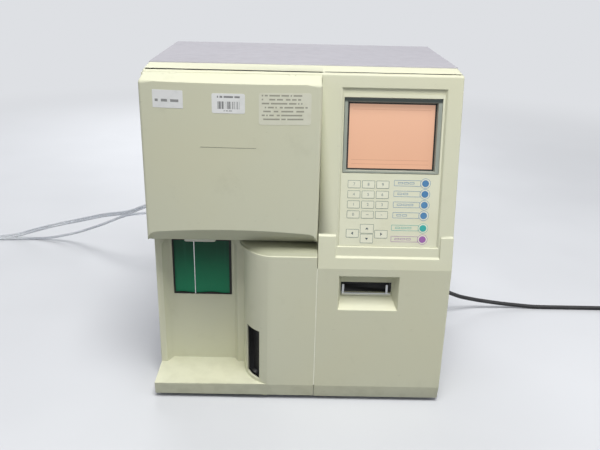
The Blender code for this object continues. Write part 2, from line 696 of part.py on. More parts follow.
def make_start_switch():
    wall = 0.0015
    bm = bmesh.new()
    half = SWITCH_HALF + wall
    block(bm, (-half, POCKET_START, SWITCH_Z[0] - wall), (half, POCKET_END, SWITCH_Z[1] + wall))
    switch_place(bm)
    pocket = make("start_switch_pocket", bm, BLACK)
    bm = bmesh.new()
    block(bm, (-half + wall, 0.0, SWITCH_Z[0]), (half - wall, POCKET_END - wall, SWITCH_Z[1]))
    switch_place(bm)
    combine(pocket, bm)
    bm = bmesh.new()
    middle = (SWITCH_Z[0] + SWITCH_Z[1]) / 2
    block(bm, (0.0, POCKET_END - wall - 0.004, middle - 0.007), (0.010, POCKET_END - wall / 2, middle + 0.007))
    switch_place(bm)
    join(pocket, bm)

    bm = bmesh.new()
    inset = 0.0004
    pin_x, pin_y = PIVOT
    low, high = SWITCH_Z[0] + GAP, SWITCH_Z[1] - GAP
    plate = [
        (pin_x, pin_y - 0.0012), (SWITCH_HALF - 0.0012, pin_y - 0.0042), (SWITCH_HALF - 0.0012, pin_y - 0.0022),
        (pin_x, pin_y + 0.0012),
    ]
    prism(bm, plate, "Z", low + inset, high - inset)
    switch_place(bm)
    paddle = make("start_switch_paddle", bm, BLACK, origin=(*switch_point(*PIVOT), (low + high) / 2))
    bm = bmesh.new()
    cylinder(bm, (*switch_point(*PIVOT), low), 0.0016, high - low, "Z", 12)
    join(paddle, bm)


# Green back plate behind the bay window, in its black gasket
def make_back_plate():
    x0, x1 = PLATE_WINDOW_X
    z0, z1 = PLATE_WINDOW_Z
    rear = BAY_WALL_DEPTH + WALL
    bm = bmesh.new()
    border = 0.004
    block(bm, (x0 - border, behind(rear + GAP), z0 - border), (x1 + border, behind(rear + GAP + 0.002), z1 + 0.002))
    make("green_back_plate", bm, GREEN)
    bm = bmesh.new()
    block(
        bm, (x0 + GAP, behind(BAY_WALL_DEPTH + 0.0008), z0 + GAP), (x1 - GAP, behind(rear), z1 - GAP),
    )
    gasket = make("window_gasket", bm, RUBBER)
    bm = bmesh.new()
    block(
        bm, (x0 + GASKET, behind(BAY_WALL_DEPTH), z0 + GASKET),
        (x1 - GASKET, behind(rear + WALL), z1 - GASKET),
    )
    combine(gasket, bm)


# Front cover: a box shell with an arched bottom lip, hinged along its top rear edge
def cover_depth(x):
    """Depth of the cover's bowed face across its width."""
    share = (x + SIDE - COVER_CREST) / COVER_CREST
    return COVER_NEAR + (COVER_FACE - COVER_NEAR) * share ** 2


def arch_z(x):
    """Height of the arch's front edge across the cover."""
    left, right = -SIDE, PARTING_X - 2 * PARTING_GAP
    middle, half = (left + right) / 2, (right - left) / 2
    crown = ARCH_Z + ARCH_RISE * (1 - ((x - middle) / half) ** 2) + BOW_LIFT * (COVER_FACE - cover_depth(x))
    from_end = min(x - left, right - x)
    if from_end >= ARCH_END:
        return crown
    drop = 1 - math.sqrt(max(0.0, 1 - (1 - from_end / ARCH_END) ** 2))
    return crown - (crown - ARCH_END_Z) * drop


def bowed(bm, left, right, outline, count=10):
    """A solid between two X planes whose (depth, Z) outline changes across its width."""
    rows = []
    for i in range(count + 1):
        x = left + (right - left) * i / count
        rows.append([bm.verts.new((x, behind(depth), z)) for depth, z in outline(x)])
    for before, after in zip(rows, rows[1:]):
        for k in range(len(before)):
            n = (k + 1) % len(before)
            bm.faces.new((before[k], before[n], after[n], after[k]))
    bm.faces.new(rows[0])
    bm.faces.new(rows[-1])


def make_front_cover():
    left, right = -SIDE, PARTING_X - 2 * PARTING_GAP
    strip_z = HINGE_Z + HINGE_RADIUS
    foot_z = LIP_Z - 0.004
    bm = bmesh.new()
    bowed(bm, left, right, lambda x: [
        (cover_depth(x), foot_z), (cover_depth(x), COVER_TOP_Z), (HINGE_DEPTH, strip_z), (HINGE_DEPTH, foot_z),
    ])
    ends = (left, right)
    rounds = []
    for e in bm.edges:
        a, b = (v.co for v in e.verts)
        at_end = abs(a.x - b.x) < 1e-6 and min(abs(a.x - end) for end in ends) < 1e-6
        on_face = all(abs(v.y - behind(cover_depth(v.x))) < 1e-6 for v in (a, b))
        on_top = min(a.z, b.z) > COVER_TOP_Z - 1e-5
        if on_face and (on_top or at_end) or on_top and at_end:
            rounds.append(e)
    bmesh.ops.bevel(
        bm, geom=rounds, offset=COVER_ROUND, segments=4, profile=0.5, affect="EDGES", material=-1
    )
    origin = ((left + right) / 2, behind(HINGE_DEPTH), HINGE_Z)
    cover = make("front_cover", bm, CREAM, origin)

    bm = bmesh.new()
    cylinder(bm, (left, behind(HINGE_DEPTH), HINGE_Z), HINGE_RADIUS, right - left, "X", 20)
    join(cover, bm)
    bm = bmesh.new()
    sides = [
        (HINGE_DEPTH - 0.001, HINGE_Z - 0.006), (COVER_REAR - 0.003, HINGE_Z - 0.0085),
        (COVER_REAR, HINGE_Z - 0.014), (COVER_REAR, ARCH_END_Z), (HINGE_DEPTH - 0.001, ARCH_END_Z),
    ]
    prism(bm, [(behind(y), z) for y, z in sides], "X", left, left + COVER_WALL)
    prism(bm, [(behind(y), z) for y, z in sides], "X", right - COVER_WALL, right)
    join(cover, bm)

    # the arched lip
    bm = bmesh.new()
    count = 28
    front, rear = COVER_NEAR - 2 * WALL, COVER_REAR + 2 * WALL
    rows = []
    for i in range(count + 1):
        share = 0.5 - 0.5 * math.cos(math.pi * i / count)
        x = left + (right - left) * share
        slope = (arch_z(x) - LIP_Z) / (LIP_DEPTH - cover_depth(x))
        edge = left - 0.001 if i == 0 else right + 0.001 if i == count else x
        rows.append([
            bm.verts.new((edge, behind(front), arch_z(x) + slope * (cover_depth(x) - front))),
            bm.verts.new((edge, behind(LIP_DEPTH), LIP_Z)),
            bm.verts.new((edge, behind(rear), LIP_Z - 0.0005)),
            bm.verts.new((edge, behind(rear), foot_z - 0.01)),
            bm.verts.new((edge, behind(front), foot_z - 0.01)),
        ])
    for before, after in zip(rows, rows[1:]):
        for k in range(5):
            n = (k + 1) % 5
            bm.faces.new((before[k], before[n], after[n], after[k]))
    bm.faces.new(rows[0])
    bm.faces.new(rows[-1])
    bmesh.ops.triangulate(bm, faces=bm.faces)
    combine(cover, bm)

    # the hollow, open at the back
    bm = bmesh.new()
    inner_top = COVER_TOP_Z - COVER_WALL - 0.0015
    lip = COVER_WALL * 1.5
    arch_top = ARCH_Z + ARCH_RISE + BOW_LIFT * (COVER_FACE - COVER_NEAR) + lip
    bowed(bm, left + COVER_WALL, right - COVER_WALL, lambda x: [
        (cover_depth(x) + COVER_WALL, arch_top), (cover_depth(x) + COVER_WALL, inner_top),
        (HINGE_DEPTH - HINGE_RADIUS - 0.002, inner_top + 0.0035), (HINGE_DEPTH - HINGE_RADIUS - 0.002, HINGE_Z - 0.0035),
        (COVER_REAR + 0.006, HINGE_Z - 0.0035), (COVER_REAR + 0.006, LIP_Z + lip), (LIP_DEPTH, LIP_Z + lip),
    ])
    combine(cover, bm)

    for x in HINGE_LUG_X:
        bm = bmesh.new()
        half = HINGE_LUG_WIDTH / 2 + 2 * GAP
        block(
            bm, (x - half, behind(HINGE_DEPTH - HINGE_RADIUS - 0.001), HINGE_Z - 0.004),
            (x + half, behind(HINGE_DEPTH + 0.01), HINGE_Z + 0.008),
        )
        combine(cover, bm)
        bm = bmesh.new()
        cylinder(
            bm, (x - PIN_LENGTH / 2 - GAP, behind(HINGE_DEPTH), HINGE_Z), PIN_RADIUS + GAP,
            PIN_LENGTH + 2 * GAP, "X", 12,
        )
        combine(cover, bm)

    for name, x in zip(("left", "right"), HINGE_LUG_X):
        bm = bmesh.new()
        cylinder(bm, (x - PIN_LENGTH / 2, behind(HINGE_DEPTH), HINGE_Z), PIN_RADIUS, PIN_LENGTH, "X", 12)
        make(f"hinge_pin_{name}", bm, BRIGHT)


# Bulkhead behind the plastic front, and the metal case
BULKHEAD_DEPTH = SEAM_DEPTH + GAP
BULKHEAD_X = PAN_EDGE - PAN_SHEET - GAP
BULKHEAD_REAR = BULKHEAD_DEPTH + SHEET
PAN_FLOOR_Z = BASE_Z + PAN_SHEET
CASE_FRONT = SEAM_DEPTH + GROOVE
TOP_SKIRT = 0.012


def make_bulkhead():
    bm = bmesh.new()
    top = HEIGHT - SHEET - 2 * GAP - 0.002
    block(bm, (-BULKHEAD_X, behind(BULKHEAD_DEPTH), PAN_FLOOR_Z + GAP), (BULKHEAD_X, behind(BULKHEAD_REAR), top))
    bulkhead = make("bulkhead", bm, STEEL)
    bm = bmesh.new()
    for x, z in ((STRIP_X[0], BAND_BOTTOM_Z - 0.025), (SIDE - 0.045, BASE_Z + 0.1135)):
        cylinder(bm, (x, behind(BULKHEAD_DEPTH - WALL), z), 0.012, 3 * WALL, "Y", 16)
    combine(bulkhead, bm)


def make_top_panel():
    bm = bmesh.new()
    low = HEIGHT - TOP_SKIRT
    block(bm, (-SIDE, behind(CASE_FRONT), low), (SIDE, behind(CASE_DEPTH), HEIGHT))
    rounds = [
        e for e in bm.edges
        if all(v.co.z > HEIGHT - 1e-6 for v in e.verts) or abs(e.verts[0].co.z - e.verts[1].co.z) > 1e-4
    ]
    bmesh.ops.bevel(bm, geom=rounds, offset=0.0014, segments=2, profile=0.5, affect="EDGES", material=-1)
    top = make("top_panel", bm, CASE_PAINT)
    bm = bmesh.new()
    block(
        bm, (-SIDE + SHEET, behind(CASE_FRONT + SHEET), low - WALL),
        (SIDE - SHEET, behind(CASE_DEPTH - SHEET), HEIGHT - SHEET),
    )
    combine(top, bm)


SIDE_PANEL_Z = (BASE_Z + 0.002, HEIGHT - TOP_SKIRT - 0.0005)
SIDE_RETURN = 0.010
LOUVRES = 9
LOUVRE_PITCH = 0.011
LOUVRE_Z = HEIGHT - 0.180
LOUVRE_DEPTHS = (SEAM_DEPTH + 0.0925, CASE_DEPTH - 0.055)


def make_side_panel(name, side):
    """Folded sheet with a return all round, and a field of louvre slots."""
    bm = bmesh.new()
    low_z, high_z = SIDE_PANEL_Z
    outer, inner = side * SIDE, side * (SIDE - SIDE_RETURN)
    block(
        bm, (min(outer, inner), behind(CASE_FRONT + GAP), low_z), (max(outer, inner), behind(CASE_DEPTH), high_z)
    )
    rounds = [e for e in bm.edges if all(abs(v.co.x - outer) < 1e-6 for v in e.verts)]
    bmesh.ops.bevel(bm, geom=rounds, offset=0.001, segments=1, profile=0.5, affect="EDGES", material=-1)
    panel = make(name, bm, CASE_PAINT)
    bm = bmesh.new()
    skin = side * (SIDE - SHEET)
    beyond = side * (SIDE - 2 * SIDE_RETURN)
    block(
        bm, (min(skin, beyond), behind(CASE_FRONT + GAP + SHEET), low_z + SHEET),
        (max(skin, beyond), behind(CASE_DEPTH - SHEET), high_z - SHEET),
    )
    combine(panel, bm)
    bm = bmesh.new()
    start, end = side * (SIDE - 2 * SHEET), side * (SIDE + SHEET)
    for i in range(LOUVRES):
        z = LOUVRE_Z + i * LOUVRE_PITCH
        slot = rounded([
            (behind(LOUVRE_DEPTHS[0]), z, 0.0019), (behind(LOUVRE_DEPTHS[1]), z, 0.0019),
            (behind(LOUVRE_DEPTHS[1]), z + 0.004, 0.0019), (behind(LOUVRE_DEPTHS[0]), z + 0.004, 0.0019),
        ], steps=2)
        prism(bm, slot, "X", start, end)
    combine(panel, bm)
    # room for the base pan's flange and the bulkhead's foot
    bm = bmesh.new()
    pan_side = side * (PAN_EDGE + GAP)
    block(
        bm, (min(pan_side, beyond), behind(0.0), BASE_Z - WALL),
        (max(pan_side, beyond), behind(CASE_DEPTH - SHEET - GAP), PAN_TOP_Z + GAP),
    )
    combine(panel, bm)
    return panel


def make_case():
    make_top_panel()
    make_side_panel("left_side_panel", -1)
    right = make_side_panel("right_side_panel", 1)
    bm = bmesh.new()
    half = ENTRY_WIDTH / 2 + GAP
    block(
        bm, (SIDE - 4 * SHEET, behind(ENTRY_DEPTH - half), ENTRY_Z[0] - GAP),
        (SIDE + SHEET, behind(ENTRY_DEPTH + half), ENTRY_Z[1] + GAP),
    )
    combine(right, bm)

    bm = bmesh.new()
    edge = SIDE - SIDE_RETURN - GAP
    rear_skin = REAR_FACE - SHEET
    block(bm, (-edge, behind(rear_skin), BASE_Z + 0.002), (edge, behind(REAR_FACE), SIDE_PANEL_Z[1]))
    rear = make("rear_panel", bm, CASE_PAINT)
    bm = bmesh.new()
    cylinder(bm, (FAN_X, behind(rear_skin - SHEET), FAN_Z), FAN_BORE, 3 * SHEET, "Y", 32)
    for i in range(LOUVRES):
        z = BASE_Z + 0.0835 + i * LOUVRE_PITCH
        block(bm, (-0.060, behind(rear_skin - SHEET), z), (0.060, behind(REAR_FACE + SHEET), z + 0.004))
    combine(rear, bm)


# Console: overlay, bezel, display and printer
def make_console_pieces():
    bm = bmesh.new()
    edge = PANEL_DRAFT + 2 * GAP
    low_drop = PANEL_DROP[1] - 0.0007 - GAP
    high_drop = PANEL_DROP[0] + PANEL_TOP_DRAFT + GAP
    face = PANEL_DEPTH - GAP
    block(
        bm, (PANEL_X[0] + edge, face - OVERLAY_SHEET, -low_drop), (PANEL_X[1] - edge, face, -high_drop)
    )
    overlay = make("keypad_overlay", bm, OVERLAY)
    lay_on_console(overlay)
    bm = bmesh.new()
    block(
        bm, (BEZEL_X[0] - GAP, 0.0, -BEZEL_DROP[1] - GAP), (BEZEL_X[1] + GAP, 2 * PANEL_DEPTH, -BEZEL_DROP[0] + GAP)
    )
    combine(overlay, bm, on_console=True)

    bm = bmesh.new()
    front = face - OVERLAY_SHEET
    block(
        bm, (BEZEL_X[0] + GAP, front, -BEZEL_DROP[1] + GAP), (BEZEL_X[1] - GAP, front + BEZEL_DEPTH, -BEZEL_DROP[0] - GAP)
    )
    bezel = make("display_bezel", bm, SLATE)
    lay_on_console(bezel)
    bm = bmesh.new()
    flare = 0.0015
    frustum(
        bm,
        (front - 0.001, (WINDOW_X[0] - flare, -WINDOW_DROP[1] - flare), (WINDOW_X[1] + flare, -WINDOW_DROP[0] + flare)),
        (front + 1.5 * BEZEL_DEPTH, (WINDOW_X[0], -WINDOW_DROP[1]), (WINDOW_X[1], -WINDOW_DROP[0])),
    )
    combine(bezel, bm, on_console=True)

    bm = bmesh.new()
    rear = front + BEZEL_DEPTH + GAP
    border = 0.003
    low = (WINDOW_X[0] - border, rear, -WINDOW_DROP[1] - border)
    high = (WINDOW_X[1] + border, rear + 0.007, -WINDOW_DROP[0] + border)
    block(bm, low, high)
    lay_on_console(make("display_module", bm, GLASS))


PRINTER_X = (SLOT_X[0] - 0.0036, SLOT_X[1] + 0.0036)
PRINTER_Z = (SLOT_Z[0] - 0.0150, POCKET_BACK_Z[1])
PRINTER_FRONT = POCKET_DEPTH + WALL + GAP
PLATEN_RADIUS = 0.006
PLATEN_X = (SLOT_X[0] + 0.0044, SLOT_X[1] - 0.0044)
PLATEN_DEPTH = PRINTER_FRONT + 0.0090
PLATEN_Z = SLOT_Z[0] + 0.0130
ROLL_RADIUS = 0.021
ROLL_WIDTH = 0.058
ROLL_DEPTH = PLATEN_DEPTH + 0.0255
ROLL_Z = PRINTER_Z[1] + 0.0430
ROLL_X = ((SLOT_X[0] + SLOT_X[1] - ROLL_WIDTH) / 2, (SLOT_X[0] + SLOT_X[1] + ROLL_WIDTH) / 2)
AXLE_RADIUS = 0.002


def make_printer():
    bm = bmesh.new()
    (x0, x1), (z0, z1) = PRINTER_X, PRINTER_Z
    block(bm, (x0, behind(PRINTER_FRONT), z0), (x1, behind(SEAM_DEPTH), z1))
    printer = make("printer_mechanism", bm, BLACK)
    bm = bmesh.new()
    clear = 0.001
    well = (PLATEN_DEPTH - PLATEN_RADIUS - clear, PLATEN_DEPTH + PLATEN_RADIUS + clear)
    throat = [
        (PRINTER_FRONT - WALL, SLOT_Z[0]), (PRINTER_FRONT - WALL, SLOT_Z[1]), (well[0], SLOT_Z[1]),
        (well[0], z1 + WALL), (well[1], z1 + WALL), (well[1], SLOT_Z[0]),
    ]
    prism(bm, [(behind(y), z) for y, z in throat], "X", PLATEN_X[0] - clear, PLATEN_X[1] + clear)
    combine(printer, bm)
    # bearing holes for the platen's axle
    bm = bmesh.new()
    cylinder(
        bm, (PLATEN_X[0] - 0.005, behind(PLATEN_DEPTH), PLATEN_Z), AXLE_RADIUS + GAP,
        PLATEN_X[1] - PLATEN_X[0] + 0.010, "X", 12,
    )
    combine(printer, bm)
    # arms that carry the paper roll's axle
    for x in (ROLL_X[0] - 0.0028, ROLL_X[1] + 0.0008):
        bm = bmesh.new()
        arm = [
            (behind(ROLL_DEPTH - 0.006), z1 - WALL), (behind(ROLL_DEPTH - 0.006), ROLL_Z + 0.004),
            (behind(ROLL_DEPTH + 0.006), ROLL_Z + 0.004), (behind(ROLL_DEPTH + 0.006), z1 - WALL),
        ]
        prism(bm, arm, "X", x, x + 0.002)
        join(printer, bm)
    bm = bmesh.new()
    reach = 0.006
    cylinder(
        bm, (ROLL_X[0] - reach, behind(ROLL_DEPTH), ROLL_Z), AXLE_RADIUS + GAP, ROLL_X[1] - ROLL_X[0] + 2 * reach, "X", 12
    )
    combine(printer, bm)

    bm = bmesh.new()
    turned(
        bm,
        [(0, -0.0045), (AXLE_RADIUS, -0.0045), (AXLE_RADIUS, 0), (PLATEN_RADIUS, 0),
         (PLATEN_RADIUS, PLATEN_X[1] - PLATEN_X[0]), (AXLE_RADIUS, PLATEN_X[1] - PLATEN_X[0]),
         (AXLE_RADIUS, PLATEN_X[1] - PLATEN_X[0] + 0.0045), (0, PLATEN_X[1] - PLATEN_X[0] + 0.0045)],
        (PLATEN_X[0], behind(PLATEN_DEPTH), PLATEN_Z), "X", 20,
    )
    make("platen_roller", bm, RUBBER, origin=(0.0, behind(PLATEN_DEPTH), PLATEN_Z))

    bm = bmesh.new()
    width = ROLL_X[1] - ROLL_X[0]
    turned(
        bm,
        [(0, -0.0030), (AXLE_RADIUS, -0.0030), (AXLE_RADIUS, 0), (ROLL_RADIUS, 0), (ROLL_RADIUS, width),
         (AXLE_RADIUS, width), (AXLE_RADIUS, width + 0.0030), (0, width + 0.0030)],
        (ROLL_X[0], behind(ROLL_DEPTH), ROLL_Z), "X", 28,
    )
    make("paper_roll", bm, PAPER, origin=(0.0, behind(ROLL_DEPTH), ROLL_Z))

    # tear bar with its two end screws, in front of the slot's lower edge
    bm = bmesh.new()
    bar_z = (POCKET_BACK_Z[0] + 0.0012, SLOT_Z[0] - GAP)
    block(
        bm, (SLOT_X[0] + 0.001, behind(POCKET_DEPTH - 0.0015 - GAP), bar_z[0]),
        (SLOT_X[1] - 0.001, behind(POCKET_DEPTH - GAP), bar_z[1]),
    )
    bar = make("tear_bar", bm, BRIGHT)
    for x in (SLOT_X[0] + 0.0031, SLOT_X[1] - 0.0066):
        bm = bmesh.new()
        block(
            bm, (x - 0.0016, behind(POCKET_DEPTH - 0.0013), bar_z[1] - 0.001),
            (x + 0.0016, behind(POCKET_DEPTH - GAP), SLOT_Z[1] - 0.003),
        )
        join(bar, bm)


# Sample probe and what drives it
GUIDE_X = PROBE_X + 0.022
CYLINDER_RADIUS = 0.0085


def make_probe():
    rear = behind(BULKHEAD_DEPTH - GAP)
    y = behind(PROBE_DEPTH)
    bm = bmesh.new()
    cylinder(bm, (PROBE_X, y, PROBE_TIP_Z), PROBE_RADIUS, CARRIAGE_Z[1] + 0.012 - PROBE_TIP_Z, "Z", 10)
    probe = make("sample_probe", bm, BRIGHT, origin=(PROBE_X, y, PROBE_TIP_Z))
    bm = bmesh.new()
    turned(
        bm, [(0, 0.012), (0.003, 0.012), (0.003, 0.004), (0.0042, 0.0035), (0.0042, GAP), (0, GAP)],
        (PROBE_X, y, CARRIAGE_Z[1]), "Z", 12,
    )
    join(probe, bm)

    bm = bmesh.new()
    block(bm, (PROBE_X - 0.007, y - 0.008, CARRIAGE_Z[0]), (GUIDE_X + 0.007, y + 0.008, CARRIAGE_Z[1]))
    edges = [e for e in bm.edges if abs(e.verts[0].co.z - e.verts[1].co.z) > 1e-4]
    bmesh.ops.bevel(bm, geom=edges, offset=0.003, segments=2, profile=0.5, affect="EDGES", material=-1)
    carriage = make("probe_carriage", bm, WHITE, origin=(PROBE_X, y, CARRIAGE_Z[0]))
    bm = bmesh.new()
    cylinder(bm, (PROBE_X, y, CARRIAGE_Z[0] - WALL), PROBE_RADIUS + GAP, 0.04, "Z", 10)
    cylinder(bm, (GUIDE_X, y, CARRIAGE_Z[0] - WALL), 0.003 + GAP, 0.04, "Z", 16)
    combine(carriage, bm)

    # guide rod between two lugs on a back rail, and the air cylinder that lifts the carriage
    bm = bmesh.new()
    low, high = CARRIAGE_Z[0] - 0.016, CARRIAGE_Z[1] + PROBE_STROKE + 0.014
    block(bm, (PROBE_X - 0.008, y + 0.0095, low), (GUIDE_X + 0.012, rear, high))
    drive = make("probe_drive", bm, STEEL)
    for z in (low, high - 0.006):
        bm = bmesh.new()
        block(bm, (GUIDE_X - 0.007, y - 0.007, z), (GUIDE_X + 0.007, rear - 0.004, z + 0.006))
        join(drive, bm)
    bm = bmesh.new()
    cylinder(bm, (GUIDE_X, y, low + 0.003), 0.003, high - low - 0.006, "Z", 16)
    join(drive, bm)

    bm = bmesh.new()
    block(
        bm, (PROBE_X - 0.0125, y - 0.010, CUP_Z[0]), (PROBE_X + 0.0325, behind(BAY_WALL_DEPTH - 0.001), CUP_Z[1])
    )
    edges = [e for e in bm.edges if abs(e.verts[0].co.z - e.verts[1].co.z) > 1e-4]
    bmesh.ops.bevel(bm, geom=edges, offset=0.0035, segments=3, profile=0.5, affect="EDGES", material=-1)
    cup = make("rinse_cup", bm, WHITE)
    bm = bmesh.new()
    block(bm, (PROBE_X - 0.0085, y + 0.004, BAY_TOP_Z + GAP), (PROBE_X + 0.0285, rear, CUP_Z[1] + 0.007))
    join(cup, bm)
    bm = bmesh.new()
    cylinder(bm, (PROBE_X, y, CUP_Z[0] - WALL), PROBE_RADIUS + 2 * GAP, 0.04, "Z", 12)
    combine(cup, bm)
    bm = bmesh.new()
    cylinder(bm, (PROBE_X + 0.018, y, CUP_Z[0] - WALL), 0.0035, WALL + 0.005, "Z", 12)
    combine(cup, bm)


# Hydraulics on the bulkhead behind the cover
def out_of_bulkhead(distance):
    """Y of a plane this far in front of what is mounted on the bulkhead."""
    return behind(BULKHEAD_DEPTH - GAP - distance)


def soften(bm, axis, width, inside=1.0):
    """Round the edges that run along an axis, in front of a plane."""
    k = "XYZ".index(axis)
    edges = [
        e for e in bm.edges
        if abs(e.verts[0].co[k] - e.verts[1].co[k]) > 1e-4 and min(v.co.y for v in e.verts) < inside
    ]
    bmesh.ops.bevel(bm, geom=edges, offset=width, segments=3, profile=0.5, affect="EDGES", material=-1)


def make_rotor_valve():
    """Fixed body with a spindle and its knob, and a disc with a lever that turns on it."""
    x, z = COMPARTMENT_X - 0.058, BAY_TOP_Z + VALVE_RISE
    half = VALVE_SIZE / 2
    bm = bmesh.new()
    block(bm, (x - half, out_of_bulkhead(VALVE_BODY_DEPTH), z - half), (x + half, out_of_bulkhead(0), z + half))
    soften(bm, "Y", 0.005)
    valve = make("rotor_valve_body", bm, STEEL)
    spindle = VALVE_DISC + 2 * GAP
    bm = bmesh.new()
    turned(
        bm,
        [(0, -0.001), (0.004, -0.001), (0.004, spindle), (0.008, spindle), (0.009, spindle + 0.001),
         (0.009, spindle + 0.004), (0.008, spindle + 0.005), (0, spindle + 0.005)],
        (x, out_of_bulkhead(VALVE_BODY_DEPTH), z), "-Y", 20,
    )
    join(valve, bm)

    start = out_of_bulkhead(VALVE_BODY_DEPTH + GAP)
    bm = bmesh.new()
    turned(
        bm, [(0.004 + GAP, 0), (half - 0.002, 0), (half - 0.002, VALVE_DISC), (0.004 + GAP, VALVE_DISC)],
        (x, start, z), "-Y", 28, closed=True,
    )
    disc = make("rotor_valve_disc", bm, WHITE, origin=(x, start, z))
    bm = bmesh.new()
    block(
        bm, (x - VALVE_LEVER, start - VALVE_DISC * 0.75, z - 0.004), (x - half / 2, start - VALVE_DISC * 0.25, z + 0.004)
    )
    join(disc, bm)


def make_detectors():
    """Two clear transducer blocks, each with a round lens cap and three tube ports."""
    width, depth, height = DETECTOR_SIZE
    low = BAY_TOP_Z + DETECTOR_RISE
    high = low + height
    for i, name in enumerate(("red_cell_detector", "white_cell_detector")):
        x = COMPARTMENT_X - 0.0265 - i * DETECTOR_PITCH
        bm = bmesh.new()
        block(bm, (x - width / 2, out_of_bulkhead(depth), low), (x + width / 2, out_of_bulkhead(0), high))
        soften(bm, "Z", 0.005, out_of_bulkhead(depth / 2))
        detector = make(name, bm, CLEAR)
        for dx, z, way in ((-0.2 * width, high, 1), (0.2 * width, high, 1), (0.0, low, -1)):
            bm = bmesh.new()
            profile = [
                (0, -0.001 * way), (PORT_RADIUS, -0.001 * way), (PORT_RADIUS, 0.4 * PORT_LENGTH * way),
                (PORT_RADIUS / 2, 0.5 * PORT_LENGTH * way), (PORT_RADIUS / 2, PORT_LENGTH * way),
                (0, PORT_LENGTH * way),
            ]
            turned(bm, profile, (x + dx, out_of_bulkhead(0.6 * depth), z), "Z", 10)
            join(detector, bm)
        bm = bmesh.new()
        cap = 0.27 * width
        turned(
            bm, [(0, -0.002), (cap, -0.002), (cap, 0.004), (cap - 0.003, 0.006), (0, 0.006)],
            (x, out_of_bulkhead(depth), (low + high) / 2), "-Y", 20,
        )
        join(detector, bm)


def make_mixing_chambers():
    """Two clear chambers on a shelf."""
    left, right = COMPARTMENT_X - 0.033, COMPARTMENT_X
    low = BAY_TOP_Z + CHAMBER_RISE
    bm = bmesh.new()
    block(bm, (left, out_of_bulkhead(0.036), low), (right, out_of_bulkhead(0), low + 2 * WALL))
    mixing = make("mixing_chambers", bm, CLEAR)
    radius = min(CHAMBER_RADIUS, (right - left) / 4 - GAP)
    for x in ((3 * left + right) / 4, (left + 3 * right) / 4):
        bm = bmesh.new()
        turned(
            bm,
            [(0, -0.001), (radius, -0.001), (radius, CHAMBER_HEIGHT * 0.8), (radius / 2, CHAMBER_HEIGHT * 0.9),
             (radius / 4, CHAMBER_HEIGHT * 0.9), (radius / 4, CHAMBER_HEIGHT), (0, CHAMBER_HEIGHT)],
            (x, out_of_bulkhead(0.022), low + 2 * WALL), "Z", 16,
        )
        join(mixing, bm)


def make_manifold():
    """Clear manifold block with a row of solenoid valves on its face."""
    width, depth, height = MANIFOLD_SIZE
    right = COMPARTMENT_X - 0.0255
    low = BAY_TOP_Z + MANIFOLD_RISE
    bm = bmesh.new()
    block(bm, (right - width, out_of_bulkhead(depth), low), (right, out_of_bulkhead(0), low + height))
    manifold = make("valve_manifold", bm, CLEAR)
    for i in range(SOLENOIDS):
        bm = bmesh.new()
        x = right - width * (i + 0.5) / SOLENOIDS
        turned(
            bm,
            [(0, -0.001), (SOLENOID_RADIUS, -0.001), (SOLENOID_RADIUS, SOLENOID_LENGTH - 0.001),
             (SOLENOID_RADIUS - 0.0007, SOLENOID_LENGTH), (0, SOLENOID_LENGTH)],
            (x, out_of_bulkhead(depth), low + height / 2), "-Y", 14,
        )
        join(manifold, bm)


def make_hydraulics():
    make_rotor_valve()
    make_detectors()
    make_mixing_chambers()
    make_manifold()


